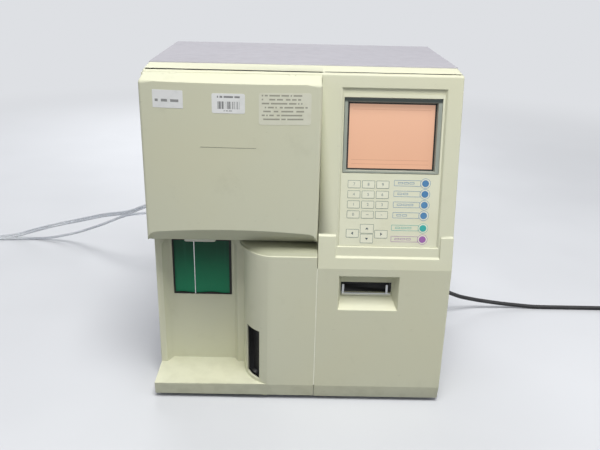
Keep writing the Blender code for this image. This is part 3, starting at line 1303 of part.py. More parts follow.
# Rear half: boards, supply, pump, waste and fan
def make_rear_units():
    floor = PAN_FLOOR_Z + GAP
    front = behind(BULKHEAD_REAR + GAP)
    bm = bmesh.new()
    standoff, inset = 0.006, 0.007
    board_y = front + standoff
    block(bm, (BOARD_X[0], board_y, BOARD_Z[0]), (BOARD_X[1], board_y + 0.0016, BOARD_Z[1]))
    board = make("main_board", bm, BOARD)
    bm = bmesh.new()
    for x in (BOARD_X[0] + inset, BOARD_X[1] - inset):
        for z in (BOARD_Z[0] + inset, BOARD_Z[1] - inset):
            cylinder(bm, (x, front, z), 0.0035, standoff + 0.001, "Y", 8)
    for across, up, dx, dz in ((0.3, 0.2, 0.03, 0.03), (0.65, 0.25, 0.04, 0.02), (0.45, 0.65, 0.05, 0.012), (0.75, 0.75, 0.02, 0.04)):
        x = BOARD_X[0] + across * (BOARD_X[1] - BOARD_X[0])
        z = BOARD_Z[0] + up * (BOARD_Z[1] - BOARD_Z[0])
        block(bm, (x, board_y + 0.001, z), (x + dx, board_y + 0.005, z + dz))
    join(board, bm)

    width, depth, height = SUPPLY_SIZE
    left, start = SUPPLY_X - width, behind(BULKHEAD_REAR + 0.012)
    bm = bmesh.new()
    block(bm, (left, start, floor), (SUPPLY_X, start + depth, floor + height))
    supply = make("power_supply", bm, ALLOY)
    bm = bmesh.new()
    slots = 7
    pitch = width / (slots + 3)
    for i in range(slots):
        x = left + (i + 1.8) * pitch
        block(
            bm, (x, start + 0.1 * depth, floor + height - WALL),
            (x + 0.4 * pitch, start + 0.9 * depth, floor + height + WALL),
        )
    combine(supply, bm)

    width, depth, height = PUMP_SIZE
    start = behind(CASE_DEPTH - PUMP_REAR) - depth
    bm = bmesh.new()
    block(bm, (PUMP_X - width / 2, start, floor), (PUMP_X + width / 2, start + depth, floor + 0.006))
    pump = make("diaphragm_pump", bm, ALLOY)
    bm = bmesh.new()
    cylinder(bm, (PUMP_X, start + WALL, floor + 0.53 * height), 0.46 * height, 0.57 * depth, "Y", 24)
    join(pump, bm)
    bm = bmesh.new()
    block(
        bm, (PUMP_X - 0.37 * width, start + 0.53 * depth, floor + 0.004),
        (PUMP_X + 0.37 * width, start + depth - WALL, floor + height),
    )
    join(pump, bm)

    bm = bmesh.new()
    radius, height = WASTE_RADIUS, WASTE_HEIGHT
    turned(
        bm,
        [(0, 0), (radius - 0.003, 0), (radius, 0.004), (radius, height), (radius - 0.006, height + 0.008),
         (radius / 2, height + 0.010), (radius / 2, height + 0.022), (0, height + 0.022)],
        (PUMP_X, behind(BULKHEAD_REAR + 0.015) + radius, floor), "Z", 28,
    )
    make("waste_chamber", bm, CLEAR)

    rear = REAR_FACE - SHEET - GAP
    half = FAN_SIZE / 2
    bm = bmesh.new()
    frame = rounded([
        (FAN_X - half, FAN_Z - half, 0.004), (FAN_X + half, FAN_Z - half, 0.004),
        (FAN_X + half, FAN_Z + half, 0.004), (FAN_X - half, FAN_Z + half, 0.004),
    ], steps=2)
    prism(bm, frame, "Y", behind(rear - FAN_THICK), behind(rear))
    fan = make("fan_frame", bm, BLACK)
    bm = bmesh.new()
    cylinder(bm, (FAN_X, behind(rear - 2 * FAN_THICK), FAN_Z), FAN_BORE, 3 * FAN_THICK, "Y", 32)
    combine(fan, bm)
    bm = bmesh.new()
    strut = 0.003
    arm = FAN_BORE + 0.001
    block(
        bm, (FAN_X - arm, behind(rear - FAN_THICK), FAN_Z - strut / 2),
        (FAN_X + arm, behind(rear - FAN_THICK + 0.003), FAN_Z + strut / 2),
    )
    join(fan, bm)
    bm = bmesh.new()
    block(
        bm, (FAN_X - strut / 2, behind(rear - FAN_THICK + 0.0002), FAN_Z - arm),
        (FAN_X + strut / 2, behind(rear - FAN_THICK + 0.0028), FAN_Z + arm),
    )
    join(fan, bm)
    bm = bmesh.new()
    cylinder(bm, (FAN_X, behind(rear - FAN_THICK - 0.0001), FAN_Z), FAN_HUB, 0.0034, "Y", 24)
    join(fan, bm)
    bm = bmesh.new()
    cylinder(bm, (FAN_X, behind(rear - FAN_THICK + 0.001), FAN_Z), 0.0015, 0.012, "Y", 12)
    join(fan, bm)

    make_fan_rotor(rear)
    make_fan_guard()


def make_fan_rotor(rear):
    """Hub cup on the fan's spindle with twisted blades."""
    start = rear - FAN_THICK + 0.0045
    depth = FAN_THICK - 0.008
    bm = bmesh.new()
    profile = [(0.0015 + GAP, 0), (FAN_HUB, 0), (FAN_HUB, depth - 0.001), (FAN_HUB - 0.001, depth), (0, depth),
               (0, 0.012), (0.0015 + GAP, 0.012)]
    turned(bm, profile, (FAN_X, behind(start), FAN_Z), "Y", 24, closed=True)
    rotor = make("fan_rotor", bm, BLACK, origin=(FAN_X, behind(start), FAN_Z))
    tip = FAN_BORE - 0.0015
    for i in range(FAN_BLADES):
        bm = bmesh.new()
        sections = []
        for radius, twist in ((FAN_HUB - 0.001, 50), ((FAN_HUB + tip) / 2, 38), (tip, 30)):
            lean = math.radians(twist)
            chord, thick = depth * 0.42, 0.0006
            along = Vector((math.cos(lean), math.sin(lean)))
            across = Vector((-along.y, along.x))
            corners = [
                along * chord + across * thick, -along * chord + across * thick,
                -along * chord - across * thick, along * chord - across * thick,
            ]
            sections.append([
                bm.verts.new((FAN_X + c.x, behind(start) + depth / 2 + c.y, FAN_Z + radius)) for c in corners
            ])
        for low, high in zip(sections, sections[1:]):
            for k in range(4):
                n = (k + 1) % 4
                bm.faces.new((low[k], low[n], high[n], high[k]))
        bm.faces.new(sections[0])
        bm.faces.new(sections[-1])
        bmesh.ops.rotate(
            bm, cent=(FAN_X, 0, FAN_Z), matrix=Matrix.Rotation(math.tau * i / FAN_BLADES, 3, "Y"), verts=bm.verts
        )
        join(rotor, bm)


def make_fan_guard():
    """Wire guard: three rings on two crossed bars with feet on the rear panel."""
    y0 = behind(REAR_FACE + GAP)
    wire = 0.0016
    bm = bmesh.new()
    reach = FAN_SIZE / 2 - 0.002
    block(bm, (FAN_X - reach, y0 + 0.0044, FAN_Z - wire / 2), (FAN_X + reach, y0 + 0.0060, FAN_Z + wire / 2))
    guard = make("fan_guard", bm, BRIGHT)
    bm = bmesh.new()
    block(bm, (FAN_X - wire / 2, y0 + 0.0045, FAN_Z - reach), (FAN_X + wire / 2, y0 + 0.0059, FAN_Z + reach))
    join(guard, bm)
    for radius in (0.012, 0.022, 0.032):
        bm = bmesh.new()
        ring = [(radius, 0), (radius + wire, 0), (radius + wire, wire), (radius, wire)]
        turned(bm, ring, (FAN_X, y0 + 0.0035, FAN_Z), "Y", 18, closed=True)
        join(guard, bm)
    bm = bmesh.new()
    pad = 0.002
    for dx, dz in ((reach, 0), (-reach, 0), (0, reach), (0, -reach)):
        block(bm, (FAN_X + dx - pad, y0, FAN_Z + dz - pad), (FAN_X + dx + pad, y0 + 0.0061, FAN_Z + dz + pad))
    join(guard, bm)


# Power entry on the right, nipples on the rear
def make_power_entry():
    y = behind(ENTRY_DEPTH)
    half = ENTRY_WIDTH / 2
    bm = bmesh.new()
    block(bm, (ROCKER_X - 0.028, y - half, ENTRY_Z[0]), (SIDE - 2 * GAP, y + half, ENTRY_Z[1]))
    entry = make("power_entry", bm, BLACK)
    bm = bmesh.new()
    prism(bm, inlet_outline(GAP), "X", INLET_FLOOR, SIDE + WALL)
    combine(entry, bm)
    wide, tall = ROCKER_SIZE[0] / 2 + GAP, ROCKER_SIZE[1] / 2 + GAP
    bm = bmesh.new()
    block(bm, (ROCKER_X - 0.010, y - wide, ROCKER_Z - tall), (SIDE + WALL, y + wide, ROCKER_Z + tall))
    combine(entry, bm)
    bm = bmesh.new()
    cylinder(bm, (ROCKER_X, y - wide - WALL, ROCKER_Z), 0.0012 + GAP, 2 * (wide + WALL), "Y", 12)
    combine(entry, bm)

    # rocker at rest in its "on" position, the lower end pressed in
    height = ROCKER_SIZE[1] / 2 - 0.001
    rise = ROCKER_X + 0.0018
    tip = rise + height * math.tan(math.radians(ROCKER_TILT))
    side_view = [
        (rise, 0.0), (tip, height), (ROCKER_X - 0.006, height * 0.55), (ROCKER_X - 0.006, -height * 0.55), (tip, -height)
    ]
    bm = bmesh.new()
    prism(bm, [(x, z + ROCKER_Z) for x, z in side_view], "Y", y - wide + 2 * GAP, y + wide - 2 * GAP)
    bmesh.ops.rotate(
        bm, cent=(ROCKER_X, 0, ROCKER_Z), matrix=Matrix.Rotation(math.radians(ROCKER_TILT), 3, "Y"), verts=bm.verts
    )
    rocker = make("power_rocker", bm, BLACK, origin=(ROCKER_X, y, ROCKER_Z))
    bm = bmesh.new()
    axle = wide + WALL - 2 * GAP
    cylinder(bm, (ROCKER_X, y - axle, ROCKER_Z), 0.0012, 2 * axle, "Y", 12)
    join(rocker, bm)


def inlet_outline(clear):
    """Six-sided mouth of the appliance inlet as (Y, Z) pairs: two corners cut at the top."""
    y = behind(ENTRY_DEPTH)
    half, low, high, cut = 0.012 + clear, INLET_Z - 0.008 - clear, INLET_Z + 0.008 + clear, 0.0045
    return [
        (y - half, low), (y + half, low), (y + half, high - cut), (y + half - cut, high), (y - half + cut, high),
        (y - half, high - cut),
    ]


def make_nipples():
    y0 = REAR_FACE + GAP
    plate = 0.002
    xs = [x for x, _, _ in NIPPLES]
    zs = [z for _, z, _ in NIPPLES]
    margin = 0.010
    bm = bmesh.new()
    outline = rounded([
        (min(xs) - margin + 0.004, min(zs) - margin, 0.003), (max(xs) + margin, min(zs) - margin, 0.003),
        (max(xs) + margin, max(zs) + margin, 0.003), (min(xs) - margin + 0.004, max(zs) + margin, 0.003),
    ], steps=2)
    prism(bm, outline, "Y", behind(y0), behind(y0 + plate))
    panel = make("nipple_plate", bm, STEEL)
    for x, z, tube in NIPPLES:
        bm = bmesh.new()
        bore = tube / 2 - 0.0006
        start = -0.0005
        reach = CASE_DEPTH + FITTING_REACH - y0 - plate
        profile = [
            (0, start), (0.0048, start), (0.0048, 0.004), (bore, 0.005), (bore, 0.008), (bore + 0.0007, 0.0085),
            (bore, 0.013), (bore, 0.0145), (bore + 0.0007, 0.015), (bore - 0.0003, reach), (0, reach),
        ]
        turned(bm, profile, (x, behind(y0 + plate), z), "Y", 12)
        join(panel, bm)


# Cords
LEAD_ROUTE = (
    (0.2623, 0.2750, 0.0500), (0.2665, 0.2750, 0.0499), (0.2730, 0.2760, 0.0478), (0.2830, 0.2787, 0.0424),
    (0.3040, 0.2870, 0.0315),
    (0.3250, 0.2940, 0.0238), (0.3457, 0.2990, 0.0178), (0.3855, 0.3030, 0.0105), (0.4155, 0.3045, 0.0068),
    (0.4400, 0.3045, 0.0046), (0.4635, 0.3040, 0.0038), (0.5040, 0.3040, 0.0038), (0.5450, 0.3040, 0.0038),
    (0.5750, 0.3040, 0.0038), (0.6120, 0.3040, 0.0038),
)
TUBE_ROUTES = {
    "tube_upper": (
        (-0.1900, 0.3503, 0.1780), (-0.1905, 0.3640, 0.1780), (-0.1970, 0.3790, 0.1775), (-0.2150, 0.3890, 0.1760),
        (-0.2400, 0.3920, 0.1730), (-0.2680, 0.3900, 0.1695), (-0.2965, 0.3880, 0.1635), (-0.3340, 0.4040, 0.1450),
        (-0.3990, 0.4550, 0.1180), (-0.4650, 0.5110, 0.0850), (-0.5330, 0.5570, 0.0550), (-0.5970, 0.5880, 0.0280),
        (-0.6400, 0.6010, 0.0110), (-0.6660, 0.6060, 0.0045), (-0.6900, 0.6075, 0.0022), (-0.7268, 0.6075, 0.0022),
    ),
    "tube_lower": (
        (-0.1760, 0.3503, 0.1780), (-0.1765, 0.3660, 0.1778), (-0.1830, 0.3840, 0.1750), (-0.2030, 0.3965, 0.1705),
        (-0.2320, 0.4010, 0.1665), (-0.2650, 0.3970, 0.1630), (-0.2965, 0.3900, 0.1588), (-0.3340, 0.4040, 0.1406),
        (-0.3990, 0.4545, 0.1136), (-0.4650, 0.5100, 0.0806), (-0.5330, 0.5560, 0.0506), (-0.5970, 0.5860, 0.0236),
        (-0.6380, 0.5960, 0.0080), (-0.6600, 0.5990, 0.0030), (-0.6900, 0.5990, 0.0022), (-0.7350, 0.5990, 0.0022),
        (-0.7700, 0.5990, 0.0022), (-0.8000, 0.5990, 0.0022),
    ),
    "tube_single": (
        (-0.1620, 0.3503, 0.1520), (-0.1625, 0.3700, 0.1520), (-0.1700, 0.3900, 0.1510), (-0.1900, 0.4050, 0.1490),
        (-0.2220, 0.4130, 0.1470), (-0.2620, 0.4130, 0.1435), (-0.3050, 0.4150, 0.1370), (-0.3460, 0.4300, 0.1260),
        (-0.4090, 0.4840, 0.0850), (-0.4810, 0.5500, 0.0400), (-0.5150, 0.5740, 0.0230), (-0.5480, 0.5880, 0.0110),
        (-0.5750, 0.5930, 0.0050), (-0.6040, 0.5940, 0.0030), (-0.6430, 0.5910, 0.0030), (-0.6820, 0.5880, 0.0030),
        (-0.7152, 0.5880, 0.0030),
    ),
}
TUBE_COILS = {
    "tube_upper": ((-0.7420, 0.6335), 0.022, (0.0122, 0.0124)),
    "tube_lower": ((-0.8152, 0.5730), 0.022, (0.0122, 0.0124)),
    "tube_single": ((-0.7350, 0.5553), 0.030, (0.0112, 0.0168)),
}


def smooth_route(points, spacing):
    """Points of a smooth curve through a route, about one spacing apart."""
    spots = [Vector((x, behind(y), z)) for x, y, z in points]
    spots = [2 * spots[0] - spots[1], *spots, 2 * spots[-1] - spots[-2]]
    line = []
    for before, start, end, after in zip(spots, spots[1:], spots[2:], spots[3:]):
        steps = max(1, round((end - start).length / spacing))
        for i in range(steps):
            t = i / steps
            line.append(0.5 * (
                2 * start + (end - before) * t + (2 * before - 5 * start + 4 * end - after) * t ** 2
                + (3 * start - before - 3 * end + after) * t ** 3
            ))
    return line + [spots[-2]]


def make_cord(name, route, diameter, material):
    curve = bpy.data.curves.new(name, "CURVE")
    curve.dimensions = "3D"
    curve.bevel_depth = diameter / 2
    curve.bevel_resolution = 2
    curve.use_fill_caps = True
    line = smooth_route(route, 5 * diameter)
    spline = curve.splines.new("POLY")
    spline.points.add(len(line) - 1)
    for point, spot in zip(spline.points, line):
        point.co = (*spot, 1.0)
    curve.materials.append(material)
    bpy.context.collection.objects.link(bpy.data.objects.new(name, curve))


def make_coil(name, centre, radius, bundle, material):
    """Turned ring of a coil's outer shape, lying on the table."""
    half, height = bundle[0] / 2, bundle[1]
    soft = 0.003
    profile = [
        (radius - half, soft), (radius - half + soft, 0), (radius + half - soft, 0), (radius + half, soft),
        (radius + half, height - soft), (radius + half - soft, height), (radius - half + soft, height),
        (radius - half, height - soft),
    ]
    bm = bmesh.new()
    turned(bm, profile, (centre[0], behind(centre[1]), 0.0), "Z", 28, closed=True)
    make(name, bm, material)


def make_tubes():
    for (name, route), (_, _, diameter), side in zip(TUBE_ROUTES.items(), NIPPLES, (1, -1, -1)):
        make_cord(name, route, diameter, CLEAR)
        centre, radius, bundle = TUBE_COILS[name]
        make_coil(f"{name}_coil", centre, radius, bundle, CLEAR)
        bm = bmesh.new()
        bore = diameter / 2
        profile = [
            (0, 0), (bore - 0.0006, 0), (bore, 0.004), (bore - 0.0006, 0.0045), (bore, 0.008), (bore + 0.0012, 0.0085),
            (0.0045, 0.0100), (0.0045, 0.0180), (0.0035, 0.0190), (0.0035, 0.0220), (0, 0.0220),
        ]
        # the connector lies on top of the coil, at its front or rear
        start = (centre[0] - 0.006, behind(centre[1]) + side * (radius - 0.002), bundle[1] + 0.0045 + GAP)
        turned(bm, profile, start, "X", 12)
        make(f"{name}_connector", bm, WHITE)


def make_mains_lead():
    make_cord("mains_lead", LEAD_ROUTE, LEAD_DIAMETER, CORD)
    make_coil("mains_lead_coil", LEAD_COIL, LEAD_COIL_RADIUS, LEAD_COIL_BUNDLE, CORD)

    # appliance plug in the inlet, with its tapered strain relief
    y = behind(ENTRY_DEPTH)
    bm = bmesh.new()
    prism(bm, inlet_outline(-GAP), "X", INLET_FLOOR + GAP, SIDE + 0.001)
    plug = make("inlet_plug", bm, CORD)
    bm = bmesh.new()
    block(bm, (SIDE + GAP, y - 0.014, INLET_Z - 0.010), (SIDE + 0.020, y + 0.014, INLET_Z + 0.010))
    edges = [e for e in bm.edges if abs(e.verts[0].co.x - e.verts[1].co.x) > 1e-4]
    bmesh.ops.bevel(bm, geom=edges, offset=0.005, segments=3, profile=0.5, affect="EDGES", material=-1)
    join(plug, bm)
    bm = bmesh.new()
    tail = LEAD_ROUTE_START - GAP - SIDE
    turned(
        bm, [(0, 0.018), (0.009, 0.018), (0.0085, 0.023), (0.0060, 0.028), (0.0044, tail), (0, tail)],
        (SIDE, y, INLET_Z), "X", 16,
    )
    join(plug, bm)

    # round two-pin wall plug beside the coil, on a short end of lead that comes down to it
    tail, drop, reach = 0.0044, 0.0080, 0.020
    x = LEAD_COIL[0] + LEAD_COIL_RADIUS + LEAD_DIAMETER
    outer = LEAD_COIL_RADIUS + LEAD_COIL_BUNDLE[0] / 2 + GAP
    meets = behind(LEAD_COIL[1]) - math.sqrt(outer ** 2 - (x - tail - LEAD_COIL[0]) ** 2)
    start = meets - reach
    z = 0.0190
    bm = bmesh.new()
    profile = [
        (0, 0), (tail, 0), (0.0060, -0.026), (0.0110, -0.030), (0.0180, -0.040), (0.0186, -0.046),
        (0.0186, -0.062), (0.0175, -0.064), (0, -0.064),
    ]
    turned(bm, profile, (x, start, z), "Y", 24)
    wall_plug = make("wall_plug", bm, CORD)
    bm = bmesh.new()
    half = tail * 0.9
    frustum(
        bm, (start - 0.002, (x - half, z - half), (x + half, z + half)),
        (meets, (x - tail, z - drop - tail), (x + tail, z - drop + tail)),
    )
    join(wall_plug, bm)
    for side in (-1, 1):
        bm = bmesh.new()
        pin = [(0, -0.063), (0.0024, -0.063), (0.0024, -0.0815), (0.0014, -0.0830), (0, -0.0830)]
        turned(bm, pin, (x + side * 0.0095, start, z), "Y", 10)
        join(wall_plug, bm)


make_front_frame()
make_bay_moulding()
make_front_cover()
make_base_pan()
make_feet()
make_bulkhead()
make_case()
make_console_pieces()
make_printer()
make_back_plate()
make_start_switch()
make_probe()
make_hydraulics()
make_rear_units()
make_power_entry()
make_nipples()
make_tubes()
make_mains_lead()
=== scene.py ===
"""Benchtop hematology analyzer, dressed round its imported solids. Metres, +Z up, front towards -Y."""

import math

import bmesh
import bpy
from mathutils import Matrix, Vector


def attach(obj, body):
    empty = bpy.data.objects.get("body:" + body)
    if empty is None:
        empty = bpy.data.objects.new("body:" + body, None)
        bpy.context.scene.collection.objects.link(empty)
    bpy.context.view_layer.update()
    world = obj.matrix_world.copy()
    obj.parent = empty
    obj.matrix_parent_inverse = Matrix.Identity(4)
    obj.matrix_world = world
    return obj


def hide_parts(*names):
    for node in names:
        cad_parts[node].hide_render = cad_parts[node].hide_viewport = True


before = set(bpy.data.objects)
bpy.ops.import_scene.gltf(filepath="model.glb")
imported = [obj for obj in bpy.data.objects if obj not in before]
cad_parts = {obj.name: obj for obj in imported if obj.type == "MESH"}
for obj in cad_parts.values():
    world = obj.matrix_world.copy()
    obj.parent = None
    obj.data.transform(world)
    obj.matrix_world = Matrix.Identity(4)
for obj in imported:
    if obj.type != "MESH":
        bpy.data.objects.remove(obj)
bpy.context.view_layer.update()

# Camera and light
# The photographer stood just left of the middle and looked down a little. One big soft
# light hangs over the front, with weaker ones at the sides and the back and a pale room round it.
IMAGE_WIDTH = 600
FOCAL_PIXELS = 682.6
CAMERA_PLACE = Vector((-0.0092, -1.027, 0.6139))
PITCH, YAW, ROLL = 0.3727, 0.0098, -0.0233

forward = Vector((math.sin(YAW) * math.cos(PITCH), math.cos(YAW) * math.cos(PITCH), -math.sin(PITCH)))
level = Vector((math.cos(YAW), -math.sin(YAW), 0.0))
down = forward.cross(level)
across = math.cos(ROLL) * level + math.sin(ROLL) * down
dropped = -math.sin(ROLL) * level + math.cos(ROLL) * down

lens = bpy.data.cameras.new("camera")
lens.sensor_width = 36.0
lens.lens = FOCAL_PIXELS * lens.sensor_width / IMAGE_WIDTH
lens.clip_start = 0.01
camera = bpy.data.objects.new("camera", lens)
turn = Matrix((across, -dropped, -forward)).transposed()
camera.matrix_world = Matrix.Translation(CAMERA_PLACE) @ turn.to_4x4()
bpy.context.scene.collection.objects.link(camera)
bpy.context.scene.camera = camera
bpy.context.scene.view_settings.view_transform = "Standard"


def lamp(name, place, target, size, watts, colour=(1.0, 1.0, 1.0)):
    """A square soft light that faces a point."""
    light = bpy.data.lights.new(name, "AREA")
    light.size = size
    light.energy = watts
    light.color = colour
    holder = bpy.data.objects.new(name, light)
    holder.location = place
    holder.rotation_euler = (Vector(target) - Vector(place)).to_track_quat("-Z", "Y").to_euler()
    bpy.context.scene.collection.objects.link(holder)
    return holder


lamp("top_light", (0.2, -1.15, 3.1), (0.0, -0.1, 0.2), 1.4, 106.0, (1.0, 0.99, 0.97))
lamp("left_light", (-1.6, -1.2, 1.0), (0.0, 0.0, 0.2), 1.2, 4.0)
lamp("right_light", (1.7, -1.0, 1.1), (0.0, 0.0, 0.2), 1.2, 9.5, (0.97, 0.98, 1.0))
back_light = lamp("back_light", (-0.4, 1.9, 1.1), (0.0, 0.15, 0.25), 1.4, 26.0, (0.98, 0.99, 1.0))
back_light.visible_glossy = False


# Floor
# A plain pale tabletop that runs on past the picture, lit by a pale room.
def tone(red, green, blue):
    """A colour as a shader takes it, from the 0 to 255 values of a screen."""
    def linear(value):
        value /= 255
        return value / 12.92 if value <= 0.04045 else ((value + 0.055) / 1.055) ** 2.4
    return (linear(red), linear(green), linear(blue), 1.0)


class Value:
    """A shader socket that adds Math nodes when it is used in an expression."""

    def __init__(self, paint, socket):
        self.paint, self.socket = paint, socket

    def maths(self, operation, *values, clamp=False):
        return self.paint.node("ShaderNodeMath", {"operation": operation, "use_clamp": clamp}, values)

    def __rsub__(self, other):
        return self.maths("SUBTRACT", other, self)

    def __abs__(self):
        return self.maths("ABSOLUTE", self)

    def limited(self):
        return self.maths("ADD", self, 0.0, clamp=True)

    def floor(self):
        return self.maths("FLOOR", self)

    def fade(self, start, end):
        """0 before the start, 1 past the end, and smooth between; the ends may be either way round."""
        low, high, results = (start, end, (0.0, 1.0)) if start < end else (end, start, (1.0, 0.0))
        return self.paint.node(
            "ShaderNodeMapRange", {"interpolation_type": "SMOOTHSTEP"},
            {"Value": self, "From Min": low, "From Max": high, "To Min": results[0], "To Max": results[1]},
        )


# Every operator between two values adds the Math node of its name
for operator, operation in (
    ("add", "ADD"), ("sub", "SUBTRACT"), ("mul", "MULTIPLY"), ("truediv", "DIVIDE"), ("mod", "FLOORED_MODULO"),
    ("pow", "POWER"), ("lt", "LESS_THAN"), ("gt", "GREATER_THAN"),
):
    setattr(Value, f"__{operator}__", lambda self, other, operation=operation: self.maths(operation, self, other))


class Paint:
    """A finish: one material, its shader's fixed values, and the nodes that vary it."""

    def __init__(self, name, colour, roughness=0.5, **fixed):
        self.material = bpy.data.materials.new(name)
        self.material.use_nodes = True
        self.nodes = self.material.node_tree.nodes
        self.links = self.material.node_tree.links
        self.shader = self.nodes["Principled BSDF"]
        for socket, value in {"Base_Color": colour, "Roughness": roughness, **fixed}.items():
            self.shader.inputs[socket.replace("_", " ")].default_value = value

    def feed(self, name, value):
        self.links.new(value.socket, self.shader.inputs[name])

    def node(self, kind, settings=None, inputs=None, output=0):
        made = self.nodes.new(kind)
        for key, value in (settings or {}).items():
            setattr(made, key, value)
        if not isinstance(inputs, dict):
            inputs = dict(enumerate(inputs or ()))
        for key, value in inputs.items():
            if isinstance(value, Value):
                self.links.new(value.socket, made.inputs[key])
            else:
                made.inputs[key].default_value = value
        return Value(self, made.outputs[output])

    def place(self):
        return self.node("ShaderNodeTexCoord", output="Object")

    def axes(self):
        spot = self.place()
        return [self.node("ShaderNodeSeparateXYZ", inputs=[spot], output=k) for k in range(3)]

    def noise(self, scale, detail=3.0, roughness=0.5, stretch=None):
        """Soft noise, packed closer along each axis by its stretch."""
        spot = self.place()
        if stretch:
            spot = self.node("ShaderNodeMapping", inputs={"Vector": spot, "Scale": stretch})
        inputs = {"Vector": spot, "Scale": scale, "Detail": detail, "Roughness": roughness}
        return self.node("ShaderNodeTexNoise", inputs=inputs)

    def dice(self, number):
        """A fixed chance from 0 to 1 for each whole number."""
        return self.node("ShaderNodeTexWhiteNoise", {"noise_dimensions": "1D"}, {"W": number})

    def mix(self, share, first, second):
        return self.node("ShaderNodeMix", {"data_type": "RGBA"}, {0: share, 6: first, 7: second}, output=2)

    def tint(self, share, first, second):
        """Base colour that goes from the first to the second by a share."""
        self.feed("Base Color", self.mix(share, first, second))

    def relief(self, height, strength, distance):
        """Height as bumps on the surface."""
        self.feed("Normal", self.node("ShaderNodeBump", inputs={
            "Height": height, "Strength": strength, "Distance": distance,
        }))


SMOOTH = math.radians(40.0)


def show(name, shape, body, replaces):
    """Put a shape in the scene, as one of the model's visible pieces if it has a body."""
    made = bpy.data.objects.new(name, shape)
    bpy.context.scene.collection.objects.link(made)
    if body:
        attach(made, body)
        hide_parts(*replaces)
    return made


def piece(name, bm, paint, replaces=(), body="main_unit"):
    """Finish a mesh with a paint, smooth but for its hard edges."""
    mesh = bpy.data.meshes.new(name)
    bm.to_mesh(mesh)
    bm.free()
    mesh.materials.append(paint.material)
    mesh.shade_smooth()
    mesh.set_sharp_from_angle(angle=SMOOTH)
    return show(name, mesh, body, replaces)


SEEN = ("Is Camera Ray", "Is Glossy Ray", "Is Transmission Ray")
ROOM = (0.73, 0.745, 0.775, 1.0)
table = Paint("table_top", tone(196, 198, 202), 0.6, Emission_Strength=1.0, Specular_IOR_Level=0.0)
x, y, _ = table.axes()
far = ((x * x + y * y) ** 0.5).fade(0.9, 2.6)
hue = table.mix(table.noise(3.0, 2.0).fade(0.3, 0.7), tone(195, 197, 201), tone(199, 201, 205))
table.tint(far, hue, (0.0, 0.0, 0.0, 1.0))
table.feed("Emission Color", table.mix(far, (0.0, 0.0, 0.0, 1.0), ROOM))
paths = [table.node("ShaderNodeLightPath", output=name) for name in SEEN]
shade = table.node("ShaderNodeBsdfDiffuse", inputs={"Color": tone(140, 142, 146)})
both = table.node("ShaderNodeMixShader", inputs={
    0: (paths[0] + paths[1] + paths[2]).limited(), 1: shade, 2: Value(table, table.shader.outputs[0]),
})
table.links.new(both.socket, table.nodes["Material Output"].inputs["Surface"])
bm = bmesh.new()
bmesh.ops.create_grid(bm, x_segments=1, y_segments=1, size=8.0)
piece("floor", bm, table, body=None)

# The room is paler to the camera, in reflections and through clear parts than it is as light
world = bpy.data.worlds.new("room")
world.use_nodes = True
nodes, links = world.node_tree.nodes, world.node_tree.links
path = nodes.new("ShaderNodeLightPath")
blend = nodes.new("ShaderNodeMixShader")
room = nodes.new("ShaderNodeBackground")
light_room = nodes["Background"]
for background, strength in ((light_room, 0.33), (room, 1.0)):
    background.inputs["Color"].default_value = ROOM
    background.inputs["Strength"].default_value = strength
seen = path.outputs[SEEN[0]]
for name in SEEN[1:]:
    total = nodes.new("ShaderNodeMath")
    total.operation = "MAXIMUM"
    links.new(seen, total.inputs[0])
    links.new(path.outputs[name], total.inputs[1])
    seen = total.outputs[0]
for k, source in enumerate((seen, light_room.outputs[0], room.outputs[0])):
    links.new(source, blend.inputs[k])
links.new(blend.outputs[0], nodes["World Output"].inputs["Surface"])
bpy.context.scene.world = world


# Mains lead
# A black rubber-sheathed lead from the right side of the case. It drops to the table and runs
# out of the picture to a neat tied coil and a moulded two-pin plug.
def behind(distance):
    """Y of a plane this far behind the front face."""
    return distance - 0.175


STEPS = 3


def smooth_route(points):
    """Points along a smooth curve through a route of (X, depth, Z)."""
    spots = [Vector((x, behind(y), z)) for x, y, z in points]
    spots = [2 * spots[0] - spots[1], *spots, 2 * spots[-1] - spots[-2]]
    line = []
    for before, start, end, after in zip(spots, spots[1:], spots[2:], spots[3:]):
        for i in range(STEPS):
            t = i / STEPS
            line.append(0.5 * (
                2 * start + (end - before) * t + (2 * before - 5 * start + 4 * end - after) * t ** 2
                + (3 * start - before - 3 * end + after) * t ** 3
            ))
    return line + [spots[-2]]


PER_TURN = 28


def wound(centre, start, way, stops, turns):
    """Points of a coil: stops are the (radius, height) of its turns, each eased into the next."""
    line = []
    for i in range(1, round(turns * PER_TURN) + 1):
        progress = i / PER_TURN
        ring = min(int(progress), len(stops) - 1)
        ahead = min(ring + 1, len(stops) - 1)
        ease = min(1.0, max(0.0, (progress - ring - 0.55) / 0.45))
        ease = ease * ease * (3 - 2 * ease)
        radius, height = (a + (b - a) * ease for a, b in zip(stops[ring], stops[ahead]))
        angle = math.radians(start) + way * math.tau * progress
        line.append(Vector((
            centre[0] + radius * math.cos(angle), behind(centre[1]) + radius * math.sin(angle), height
        )))
    return line


def cord_piece(name, line, diameter, paint, replaces):
    """A round cord along a line of points."""
    curve = bpy.data.curves.new(name, "CURVE")
    curve.dimensions = "3D"
    curve.bevel_depth = diameter / 2
    curve.bevel_resolution = 4
    curve.use_fill_caps = True
    spline = curve.splines.new("POLY")
    spline.points.add(len(line) - 1)
    for point, spot in zip(spline.points, line):
        point.co = (*spot, 1.0)
    spline.use_smooth = True
    curve.materials.append(paint.material)
    return show(name, curve, "main_unit", replaces)


